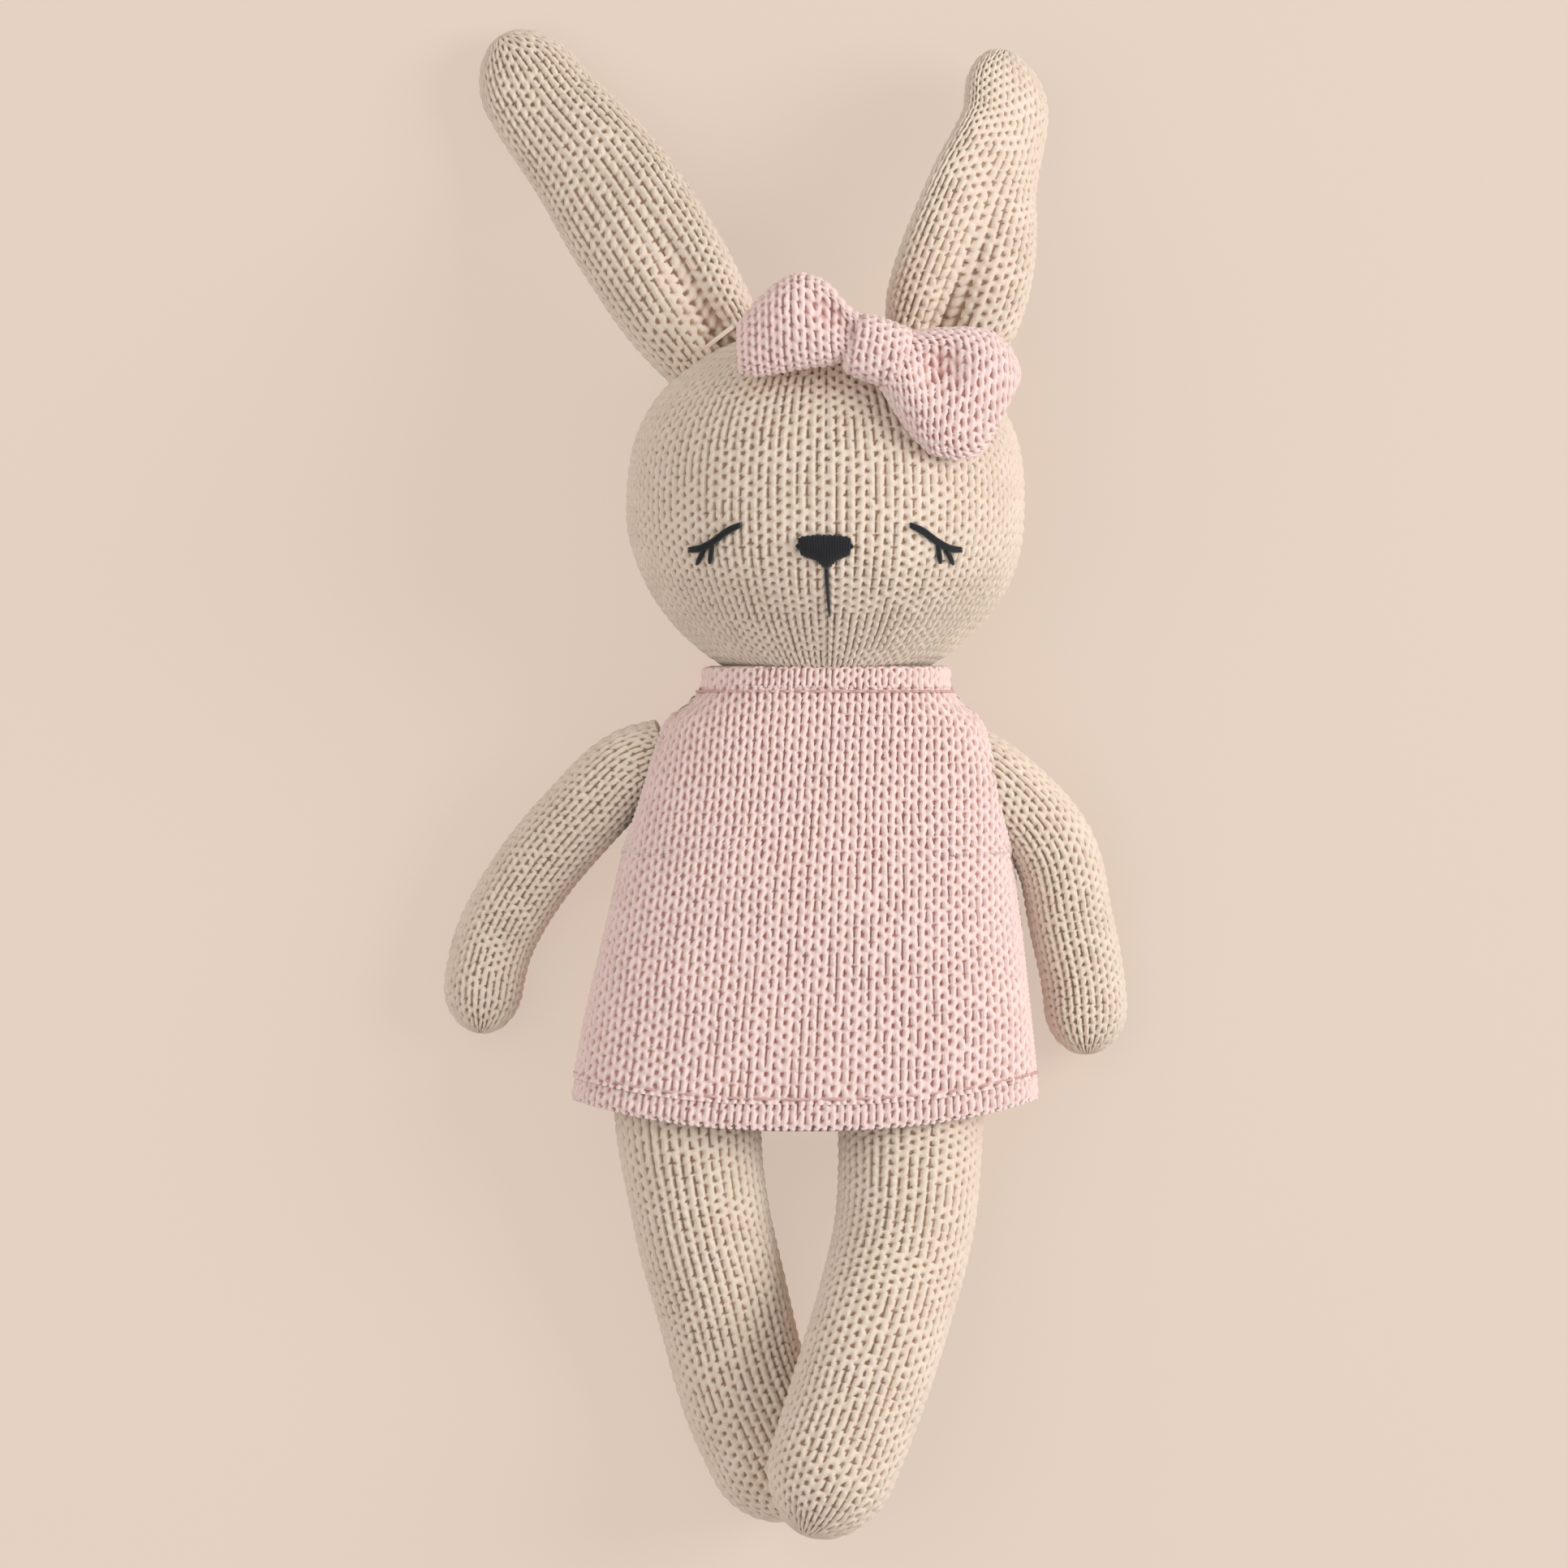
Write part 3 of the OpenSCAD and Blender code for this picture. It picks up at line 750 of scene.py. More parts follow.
# The third colour of each finish is painted shade between the stitches.
FINISHES = (
    YarnFinish("beige_yarn", Slot.BEIGE, (0.78, 0.665, 0.56), (0.74, 0.62, 0.515), (0.42, 0.285, 0.20)),
    YarnFinish("pink_yarn", Slot.PINK, (0.86, 0.685, 0.65), (0.83, 0.645, 0.61), (0.60, 0.345, 0.315)),
    YarnFinish("rose_yarn", Slot.ROSE, (0.66, 0.42, 0.40), (0.60, 0.37, 0.36), (0.30, 0.12, 0.12)),
    YarnFinish("charcoal_yarn", Slot.CHARCOAL, (0.016, 0.017, 0.02), (0.01, 0.011, 0.013), (0.004, 0.004, 0.005)),
    YarnFinish("white_fibre", Slot.FIBRE, (0.86, 0.84, 0.80), (0.82, 0.80, 0.76), (0.5, 0.48, 0.45)),
)


class Wardrobe:
    """The finishes, made once."""

    def __init__(self) -> None:
        group = yarn_group()
        self.materials = {finish.slot: finish.make(group) for finish in FINISHES}

    def dress(self, piece: bpy.types.Object, slot: Slot, look: Slot | None = None) -> bpy.types.Object:
        """Give a piece its finish.

        Args:
            piece: the piece.
            slot: the record's slot.
            look: the slot whose finish it gets, where that is another one.

        Returns:
            The piece.
        """
        piece.data.materials.clear()
        piece.data.materials.append(self.materials[look or slot])
        return piece


# ---------- sections along a limb ----------


@dataclass(frozen=True)
class Fineness:
    """How finely stitches are drawn: columns and rows of faces a stitch."""

    columns: int = 8
    rows: int = 6


FINE = Fineness()
FLOOR = 0.2
UP = np.array([0.0, 0.0, 1.0])


@dataclass(frozen=True)
class OvalMeasure:
    """Lengths round a squared oval, so that points can be spaced evenly on it.

    Attributes:
        square: 2 is an ellipse, and more is squarer.
        flat: its depth over its width.
        count: how many short steps it is measured in.
    """

    square: float
    flat: float = 1.0
    count: int = 4001

    def table(self) -> tuple[Array, Array]:
        """Measure it.

        Returns:
            Angles all the way round, and the length up to each, scaled so that the whole way is a full turn.
        """
        turns = np.linspace(0, 2 * np.pi, self.count)
        c, s = np.cos(turns), np.sin(turns)
        x, y = squared(c, self.square), self.flat * squared(s, self.square)
        length = np.concatenate([[0], np.cumsum(np.hypot(np.diff(x), np.diff(y)))])
        return turns, length / length[-1] * 2 * np.pi

    def way(self, turns: Array) -> Array:
        """Length up to an angle.

        Args:
            turns: angles from 0 to a full turn.

        Returns:
            The lengths, where a full turn is 2 pi.
        """
        angles, length = self.table()
        return np.interp(turns, angles, length)

    def turn(self, way: Array) -> Array:
        """Angle at a length.

        Args:
            way: lengths, where a full turn is 2 pi.

        Returns:
            The angles.
        """
        angles, length = self.table()
        whole = np.floor(way / (2 * np.pi)) * 2 * np.pi
        return whole + np.interp(way - whole, length, angles)


def section_ring(
    across: Array, upwards: Array, half_wide: Array, half_deep: Array, turns: Array, square: float = 2.0
) -> Array:
    """Offsets round oval sections.

    A point lies at the half-width times the cosine and the half-depth times the sine of its turn, each raised to
    two over the squareness.

    Args:
        across: direction across each section.
        upwards: direction up each section.
        half_wide: half-width of each section.
        half_deep: half-depth of each section.
        turns: length up to each point round a section, where a full turn is 2 pi.
        square: 2 is an ellipse, and more is squarer.

    Returns:
        Sections by points by 3.
    """
    angles = OvalMeasure(square).turn(turns)
    u, w = squared(np.cos(angles), square), squared(np.sin(angles), square)
    wide = half_wide[:, None, None] * u[None, :, None] * across[:, None, :]
    return wide + half_deep[:, None, None] * w[None, :, None] * upwards[:, None, :]


@dataclass(frozen=True)
class Limb:
    """A knitted stuffed tube along a line: an ear, an arm or a leg.

    Attributes:
        name: what its pieces' names start with.
        line: the points that its middle runs through.
        wide: its widths at even steps along it.
        deep: its depths at even steps along it.
        cap: length of its round end.
        wales: how many wales go round it.
        course: height of a stitch.
        roll: turn of its sections in degrees, at even steps.
        crease: place across it, depth and length of a fold at its root, which also gets painted shade.
        seed: picks its small differences.
        square: how square its sections are.
    """

    name: str
    line: Array
    wide: tuple[float, ...]
    deep: tuple[float, ...]
    cap: float
    wales: int
    course: float
    roll: tuple[float, ...] = (0.0, 0.0)
    crease: tuple[float, float, float] = (0.0, 0.0, 1.0)
    seed: int = 1
    square: float = 2.15

    def surface(self) -> Surface:
        """Work out its grid.

        Rows stand closer together in the round end, whose size falls as a quarter circle does.

        Returns:
            The surface.
        """
        dense = curve_through(self.line, 400)
        length = np.linalg.norm(np.diff(dense, axis=0), axis=1).sum()
        courses = int(round(length / self.course))
        straight = int(round((length - self.cap) / self.course)) * FINE.rows
        body = np.linspace(0, length - self.cap, straight, endpoint=False)
        angle = np.linspace(0, 0.965 * np.pi / 2, int((courses * FINE.rows - straight) * 1.35))
        s = np.concatenate([body, length - self.cap + self.cap * np.sin(angle)])
        end = np.concatenate([np.ones(straight), np.cos(angle)])
        share = s / length
        spine = np.column_stack([np.interp(share, np.linspace(0, 1, 400), dense[:, k]) for k in range(3)])
        half_wide = along_steps(self.wide, share) / 2 * end
        half_deep = along_steps(self.deep, share) / 2 * end
        along = unit(np.gradient(spine, axis=0))
        level = unit(np.cross(along, UP))
        lift = np.cross(level, along)
        roll = np.radians(np.interp(share, np.linspace(0, 1, len(self.roll)), self.roll))[:, None]
        across = level * np.cos(roll) + lift * np.sin(roll)
        upwards = -level * np.sin(roll) + lift * np.cos(roll)
        columns = self.wales * FINE.columns
        turns = -np.linspace(0, 2 * np.pi, columns, endpoint=False)
        ring = section_ring(across, upwards, half_wide, half_deep, turns, self.square)
        points = spine[:, None, :] + ring
        place, depth, reach = self.crease
        side = np.cos(turns)[None, :]
        sunk = 0.55 * bump(side, place, 0.24) + 0.45 * bump(side, place, 0.5)
        sunk = sunk * (1 - smooth(s / reach))[:, None] * (np.sin(turns) > 0)[None, :]
        points = points - upwards[:, None, :] * (depth * sunk)[..., None]
        rows = len(s)
        u = np.broadcast_to(turns / (2 * np.pi) * self.wales, (rows, columns))
        v = np.broadcast_to((s / self.course)[:, None], (rows, columns))
        soft = 0.35 * Wander(self.seed + 7).at(u * 0.25, v * 0.12)
        points = points + unit(ring) * soft[..., None]
        points[..., 2] = FLOOR + soften_floor(points[..., 2] - FLOOR)
        scale = np.clip(end * 1.6, 0.25, 1.0)[:, None]
        # The last value is painted shade in the crease at the root.
        return Surface(points, u, v, True, self.seed, scale, 0.35 * smooth(sunk * 1.6 - 0.5) if depth else 0.0)


def soften_floor(z: Array) -> Array:
    """Flatten what would sink into the surface that the toy lies on.

    Args:
        z: heights above the surface.

    Returns:
        The mean of the height and its size, rounded within about 2 mm of the surface.
    """
    return 0.5 * (z + np.sqrt(z * z + 4.0))


# ---------- the toy ----------


@dataclass(frozen=True)
class Plan:
    """Places that everything is built from, taken from the part.

    Attributes:
        x: middle of the collar's top edge.
        y: height of the collar's top edge.
        lean: how far the toy's middle moves across for each millimetre along it.
    """

    x: float
    y: float
    lean: float = 0.05

    @staticmethod
    def from_frame() -> "Plan":
        """Read the collar's place.

        Returns:
            The plan.
        """
        low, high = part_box("collar_band")
        return Plan((low.x + high.x) / 2 / MM + 0.16, high.y / MM)

    def middle(self, y: Array | float) -> Array | float:
        """The toy's middle line.

        Args:
            y: where along the toy.

        Returns:
            Its x.
        """
        return self.x + self.lean * (y - self.y)

    def at(self, x: float, y: float, z: float = 0.0) -> tuple[float, float, float]:
        """A point given from the collar.

        Args:
            x: across from the collar's middle.
            y: up from the collar's top edge.
            z: height.

        Returns:
            The point in the frame.
        """
        return (self.x + x, self.y + y, z)


@dataclass
class Head:
    """The stuffed head, with its face.

    Attributes:
        plan: the toy's places.
        wide: its width.
        up: its height above its widest line.
        down: its height below its widest line, were it not cut by the neck.
        deep: its depth.
        centre: height of its widest line above the collar.
        rise: height of its middle above the surface.
        wales: how many wales go round it.
        courses: how many courses from the neck to the crown.
        square: how square its outline is above its widest line.
    """

    plan: Plan
    wide: float = 111.0
    up: float = 50.0
    down: float = 51.0
    deep: float = 85.0
    centre: float = 43.5
    rise: float = 40.0
    wales: int = 62
    courses: int = 42
    square: float = 2.4

    def half_wide(self, y: Array) -> Array:
        """Half-width of the outline.

        Above the widest line it is a squared ellipse, and below it an ellipse.

        Args:
            y: height in the frame.

        Returns:
            The half-width.
        """
        t = y - (self.plan.y + self.centre)
        high = np.clip(1 - np.abs(np.clip(t, 0, None) / self.up) ** self.square, 0, 1) ** (1 / self.square)
        low = np.sqrt(np.clip(1 - (np.clip(t, None, 0) / self.down) ** 2, 0, 1))
        return self.wide / 2 * high * low

    def middle_z(self, y: Array) -> Array:
        """Height of the section's middle.

        Args:
            y: height in the frame.

        Returns:
            Its z, which falls towards the neck.
        """
        return mix(28.0, self.rise, smooth((y - self.plan.y) / 30))

    def half_deep(self, y: Array) -> Array:
        """Half-depth of a section.

        Args:
            y: height in the frame.

        Returns:
            The half-depth.
        """
        return self.half_wide(y) * self.deep / self.wide

    def face(self, x: Array, y: Array) -> Array:
        """Height of the face over a point.

        Args:
            x: across, in the frame.
            y: along, in the frame.

        Returns:
            The z of the yarn's top.
        """
        share = (x - self.plan.x) / np.maximum(self.half_wide(y), 1e-6)
        return self.middle_z(y) + self.half_deep(y) * np.sqrt(np.clip(1 - share**2, 0, 1))

    def stroke(self, points: list[tuple[float, float]], raised: Array | float, count: int = 24) -> Array:
        """Lay a smooth line on the face.

        Args:
            points: its points from the collar, across and up.
            raised: its height over the yarn, one number or one for each point.
            count: how many points to return.

        Returns:
            The points of the line.
        """
        flat = curve_through(np.array(points), count)
        x, y = flat[:, 0] + self.plan.x, flat[:, 1] + self.plan.y
        return np.column_stack([x, y, self.face(x, y) + raised])

    def surface(self) -> Surface:
        """Work out the knitted head.

        Returns:
            The surface.
        """
        middle = self.plan.y + self.centre
        low, high = self.plan.y - 5.0, middle + self.up
        start = np.arcsin((low - middle) / self.down)
        rows = self.courses * FINE.rows
        angle = np.linspace(start, 0.985 * np.pi / 2, rows)
        y = middle + np.where(angle < 0, self.down, self.up) * np.sin(angle)
        columns = self.wales * FINE.columns
        turns = np.linspace(0, 2 * np.pi, columns, endpoint=False) + np.pi / 2
        a, b = self.half_wide(y), self.half_deep(y)
        across = np.broadcast_to(np.array([1.0, 0, 0]), (rows, 3))
        upwards = np.broadcast_to(UP, (rows, 3))
        ring = section_ring(-across, upwards, a, b, turns)
        spine = np.column_stack([np.full(rows, self.plan.x), y, self.middle_z(y)])
        points = spine[:, None, :] + ring
        u = np.broadcast_to(np.arange(columns) / FINE.columns, (rows, columns))
        arc = np.concatenate([[0], np.cumsum(np.linalg.norm(np.diff(points[:, 0], axis=0), axis=1))])
        v = np.broadcast_to((arc / arc[-1] * self.courses)[:, None], (rows, columns))
        soft = Wander(5).at(u * 0.2, v * 0.15)
        points = points + unit(ring) * 0.5 * soft[..., None]
        points[..., 2] = FLOOR + soften_floor(points[..., 2] - FLOOR)
        strength = np.clip(a / self.wide * 3.2, 0.3, 1.0)[:, None]
        return Surface(points, u, v, True, 3, strength)


@dataclass(frozen=True)
class DressShape:
    """The shape of the dress.

    Attributes:
        plan: the toy's places.
        collar: width at the collar.
        shoulder: width under the shoulders' slope.
        hem: width at the hem.
        deep: depth from back to front.
        length: length at the sides.
        dip: how much lower the hem is at its middle.
        square: how square its sections are.
        thick: thickness of its cloth.
        flat: depth over width, by which points are spaced evenly round it.
    """

    plan: Plan
    collar: float = 69.0
    shoulder: float = 92.0
    hem: float = 131.0
    deep: float = 50.0
    length: float = 121.0
    dip: float = 8.5
    square: float = 2.5
    thick: float = 2.2
    flat: float = 0.45

    def half_wide(self, drop: Array) -> Array:
        """Half-width at a distance under the collar's top edge.

        Args:
            drop: the distance.

        Returns:
            A slope at the shoulders, then an A-line to the hem.
        """
        slope = mix(self.collar, self.shoulder, smooth((drop - 4) / 16))
        share = np.clip((drop - 20) / (self.length - 20), 0, None)
        return np.where(drop < 20, slope, mix(self.shoulder, self.hem, share**0.75)) / 2

    def points(self, drop: Array, turns: Array, out: float = 0.0) -> Array:
        """Points of the dress.

        Args:
            drop: distance under the collar at the sides.
            turns: angle round it from its right side.
            out: distance outside its surface.

        Returns:
            The points.
        """
        v = drop / self.length
        c, s = np.cos(turns), np.sin(turns)
        u, w = squared(c, self.square), squared(s, self.square)
        side_y = self.plan.y - drop
        half = self.half_wide(drop) + out
        deep = self.deep / 2 - 1.5 * np.abs(2 * v - 1) + out
        x = self.plan.middle(side_y) + half * u
        y = side_y - self.dip * v * v * s * s
        z = mix(26.0, 25.5, smooth(v * 4)) + deep * w
        return np.stack(np.broadcast_arrays(x, y, z), axis=-1)


@dataclass(frozen=True)
class Armhole:
    """Where a panel's sides are cut away for the arms.

    Attributes:
        top: distance of its top under the collar.
        end: distance of its bottom under the collar.
        cut: angle in degrees by which the panel stops short.
    """

    top: float = 14.0
    end: float = 52.0
    cut: float = 14.0

    def start(self, drop: Array) -> Array:
        """Angle at which the panel starts.

        Args:
            drop: distance under the collar.

        Returns:
            The angle in radians, from the dress's side.
        """
        t = np.clip((drop - self.top) / (self.end - self.top), 0, 1)
        return np.radians(0.8 + self.cut * np.sin(np.pi * t) ** 0.6)


@dataclass
class Dress:
    """The knitted dress: two panels, each a bodice and a skirt, with bands, edges and stitching.

    Attributes:
        shape: its shape.
        wale: width of a stitch in the middle.
        course: height of a stitch.
        waist: distance of the skirt's top under the collar.
        collar_h: height of the collar band.
        hem_h: height of the hem band.
        panel_wales: how many wales a panel's fineness allows for.
        band_thick: thickness of a folded band.
        band_flat: a band's flat height over its height, chosen and not measured; it is not used.
            band_flat: a band's flat height over its height, chosen to suit the sheet rules and not
            measured.
        band_least: least flat height of a band, chosen and not measured; it is not used.
    """

    shape: DressShape
    wale: float = 4.5
    course: float = 3.32
    waist: float = 62.0
    collar_h: float = 6.5
    hem_h: float = 7.5
    panel_wales: int = 34
    band_thick: float = 1.5
    band_flat: float = 1.4
    band_least: float = 10.5

    def panels(self, name: str, front: int, first: float, last: float, hole: Armhole) -> list[bpy.types.Object]:
        """Make a panel in two parts, which share a row at the waist: its bodice and its skirt.

        Wales are counted along each row from the panel's middle, so that they stay even and are cut at the sides.

        Args:
            name: what the pieces' names start with.
            front: 1 for the front and -1 for the back.
            first: distance of its top under the collar.
            last: distance of its bottom under the collar.
            hole: its armholes.

        Returns:
            The bodice and the skirt.
        """
        rows = int(round((last - first) / self.course * FINE.rows / 2)) * 2 + 1
        half_count = int(round(self.panel_wales * FINE.columns / 2)) * 2
        drop = np.linspace(first, last, rows)[:, None]
        cut = int(round((self.waist - first) / (last - first) * (rows - 1) / 2)) * 2
        start = hole.start(drop)
        measure = OvalMeasure(self.shape.square, self.shape.flat)
        share = np.linspace(0, 1, half_count + 1)[None, :]
        turns = measure.turn(mix(measure.way(np.pi - start), measure.way(start), share)) * front
        points = self.shape.points(drop, turns)
        step = np.linalg.norm(np.diff(points, axis=1), axis=2)
        arc = np.concatenate([np.zeros((rows, 1)), np.cumsum(step, axis=1)], axis=1)
        arc = arc - arc[:, half_count // 2][:, None]
        wale = self.wale * mix(0.93, 1.05, drop / self.shape.length)
        u = arc / wale
        v = np.broadcast_to(-drop / self.course, u.shape)
        soft = Wander(21 if front > 0 else 22).at(u * 0.16 + 3, v * 0.10)
        away = np.stack([np.cos(turns), np.zeros_like(turns), np.sin(turns)], axis=-1)
        points = points + away * (0.9 * soft)[..., None]
        points[..., 2] = FLOOR + soften_floor(points[..., 2] - FLOOR)
        inside = self.shape.points(drop, turns, -self.shape.thick) + away * (0.9 * soft)[..., None]
        inside[..., 2] = np.maximum(inside[..., 2], FLOOR + 2.4)
        if front < 0:
            points, inside, u, v = points[:, ::-1], inside[:, ::-1], u[:, ::-1], v[:, ::-1]
        surface = Surface(points[::-1], u[::-1], v[::-1], False, 31 + front)
        made = []
        for word, part, high in (
            ("bodice", slice(rows - 1 - cut, rows), self.waist - first),
            ("skirt", slice(0, rows - cut), last - self.waist),
        ):
            piece = panel_piece(f"{name}_{word}", surface, inside[::-1], part)
            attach(piece, "torso")
            made.append(piece)
        return made

    def band(self, name: str, first: float, last: float, out: float, seed: int) -> bpy.types.Object:
        """Make a folded band right round the dress, with a row of stitches on its outside.

        Args:
            name: the piece's name.
            first: distance of its top under the collar.
            last: distance of its bottom under the collar.
            out: distance of its outside from the dress.
            seed: picks its small differences.

        Returns:
            The mesh object.
        """
        girth = 2 * (self.shape.half_wide(np.array(last)) * 2 + self.shape.deep) * 0.9
        wales = int(round(float(girth) / self.wale))
        columns = wales * FINE.columns
        way = np.linspace(0, 2 * np.pi, columns, endpoint=False)[None, :]
        turns = -OvalMeasure(self.shape.square, self.shape.flat).turn(way)
        high = last - first
        count = int(round(high / self.course * FINE.rows)) + 6
        roll = np.linspace(-np.pi / 2, np.pi / 2, count)[:, None]
        drop = (first + last) / 2 - high / 2 * np.sign(np.sin(roll)) * np.abs(np.sin(roll)) ** 0.8
        thick = self.band_thick
        outer = self.shape.points(drop, turns, 0.0)
        away = np.stack([np.cos(turns), np.zeros_like(turns), np.sin(turns)], axis=-1)
        points = outer + away * (out - thick + thick * np.abs(np.cos(roll)) ** 0.5)[..., None]
        inner = self.shape.points(drop[::-3], turns, -self.shape.thick)
        points[..., 2] = FLOOR + soften_floor(points[..., 2] - FLOOR)
        inner[..., 2] = np.maximum(inner[..., 2], FLOOR + 2.2)
        u = np.broadcast_to(np.arange(columns)[None, :] / FINE.columns, points.shape[:2])
        v = np.broadcast_to(-drop / self.course, points.shape[:2])
        surface = Surface(points, u, v, True, seed)
        moved, deep = surface.knitted()
        build = MeshBuilder(name)
        full = np.concatenate([moved, inner], axis=0)
        # The inside takes part of the painted gap shade.
        depth = np.concatenate([deep, np.full(inner.shape[:2], 0.4)], axis=0)
        spread = np.concatenate([v, np.zeros(inner.shape[:2])], axis=0)
        across = np.broadcast_to(u[:1], depth.shape)
        start = build.add_points(full, depth, np.stack([across, spread], axis=-1))
        rows = full.shape[0]
        build.add_grid(start, rows, columns, closed=True)
        i = np.arange(columns)
        last_row = start + (rows - 1) * columns
        after = (i + 1) % columns
        build.quads.append(np.stack([last_row + i, last_row + after, start + after, start + i], axis=-1))
        piece = build.build()
        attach(piece, "torso")
        return piece

    def edge(self, name: str, side: int, holes: dict[int, Armhole]) -> bpy.types.Object:
        """Make the turned edge round an armhole.

        Args:
            name: the piece's name.
            side: 1 for the right armhole and -1 for the left one.
            holes: the panels' armholes.

        Returns:
            The mesh object.
        """
        count = 80
        paths = []
        for front in (1, -1):
            hole = holes[front]
            drop = np.linspace(hole.top, hole.end, count)
            start = hole.start(drop)
            turns = (start if side > 0 else np.pi - start) * front
            paths.append(self.shape.points(drop, turns, -0.8))
        loop = np.vstack([paths[0], paths[1][::-1]])
        lump = 1 + 0.14 * np.sin(np.arange(len(loop)) * 1.9)
        return threads_piece(name, [loop], 1.15 * lump, np.array([1.0, 0.02, 0.0]), 8, 0.0, True)

    def side_seam(self, name: str, side: int, hole: Armhole) -> bpy.types.Object:
        """Make the sewn seam down a side, from the armhole to the hem band.

        Args:
            name: the piece's name.
            side: 1 for the right side and -1 for the left one.
            hole: an armhole.

        Returns:
            The mesh object.
        """
        count = 120
        drop = np.linspace(hole.end - 1, self.shape.length - self.hem_h, count)
        turns = np.full(count, 0.0 if side > 0 else np.pi)
        path = self.shape.points(drop, turns, -0.9)
        lump = 1 + 0.15 * np.sin(np.arange(count) * 2.3)
        return threads_piece(name, [path], 0.9 * lump, np.array([1.0, 0.0, 0.0]), 8)

    def running_stitch(self, name: str, drop: float, out: float, radius: float) -> bpy.types.Object:
        """Make a sewn line right round the dress, which dips into the knit between its stitches.

        Args:
            name: the piece's name.
            drop: its distance under the collar.
            out: its distance from the dress.
            radius: the thread's radius.

        Returns:
            The mesh object.
        """
        count = 720
        turns = np.linspace(0, 2 * np.pi, count, endpoint=False)
        path = self.shape.points(np.full(count, drop), turns, out)
        away = np.column_stack([np.cos(turns), np.zeros(count), np.sin(turns)])
        wave = 0.5 * np.sin(turns * 60)
        path = path + away * wave[:, None]
        path[:, 2] = np.maximum(path[:, 2], radius + 0.1)
        return threads_piece(name, [path], radius, np.array([0.0, 1.0, 0.0]), 6, 0.0, True)


@dataclass(frozen=True)
class BowLoop:
    """One loop of the bow: a folded knitted band, puffed up.

    Attributes:
        name: the piece's name.
        line: points along its middle, from the knot outwards.
        wide: its widths at even steps along it.
        deep: its thicknesses at even steps along it.
        seed: picks its small differences.
        slant: how far its wales lean, in stitches for each course.
        fold: depth of the fold beside the knot.
        hollow: share of its length and place across it of the fold's middle, which also gets painted shade.
        wale: width of a stitch.
        course: height of a stitch.
    """

    name: str
    line: Array
    wide: tuple[float, ...]
    deep: tuple[float, ...]
    seed: int
    slant: float = 0.0
    fold: float = 0.0
    hollow: tuple[float, float] = (0.25, 0.0)
    wale: float = 4.5
    course: float = 3.3

    def make(self) -> bpy.types.Object:
        """Make the loop.

        Its wales run round it, so a stitch's width lies along the loop.

        Returns:
            The mesh object.
        """
        dense = curve_through(self.line, 200)
        length = np.linalg.norm(np.diff(dense, axis=0), axis=1).sum()
        count = int(length / self.wale * FINE.columns)
        flat = np.linspace(0, 0.86, count, endpoint=False)
        angle = np.linspace(0, 0.96 * np.pi / 2, count // 3)
        share = np.concatenate([flat, 0.86 + 0.14 * np.sin(angle)])
        end = np.concatenate([np.ones(count), np.cos(angle) ** 0.6])
        spine = np.column_stack([np.interp(share, np.linspace(0, 1, 200), dense[:, k]) for k in range(3)])
        steps = np.linspace(0, 1, len(self.wide))
        wide = np.interp(share, steps, self.wide) / 2 * mix(0.72, 1.0, end)
        deep = np.interp(share, steps, self.deep) / 2 * end
        along = np.tile(unit(spine[-1] - spine[0]), (len(spine), 1))
        level = unit(np.cross(along, UP))
        lift = np.cross(level, along)
        girth = 2 * (max(self.wide) + max(self.deep) * 0.5)
        courses = int(round(girth / self.course))
        columns = courses * FINE.rows
        turns = -np.linspace(0, 2 * np.pi, columns, endpoint=False)
        ring = section_ring(level, lift, wide, deep, turns, 2.3)
        points = spine[:, None, :] + ring
        top = (np.sin(turns) > 0)[None, :]
        at, side = self.hollow
        sunk = bump(share, at, 0.2)[:, None] * bump(np.cos(turns)[None, :], side, 0.4) * top
        points = points - lift[:, None, :] * (self.fold * sunk)[..., None]
        v = np.broadcast_to((-turns / (2 * np.pi) * courses)[None, :], points.shape[:2])
        lean = self.slant * np.minimum(v % courses, courses - v % courses)
        u = share[:, None] * length / self.wale + lean
        strength = np.clip(end, 0.35, 1.0)[:, None]
        # Painted shade in the fold beside the knot.
        painted_fold_shade = 0.32 * smooth(sunk * 1.5 - 0.4)
        return tube_piece(self.name, Surface(points, u, v, True, self.seed, strength, painted_fold_shade))


SIDES = ("left", "right")
SEWN = ("neck_seam", *(f"{place}_seam_{side}" for place in ("ear", "shoulder", "hip") for side in SIDES))
CARRIED_OVER = {"bow_thread": Slot.ROSE} | {name: Slot.BEIGE for name in SEWN}


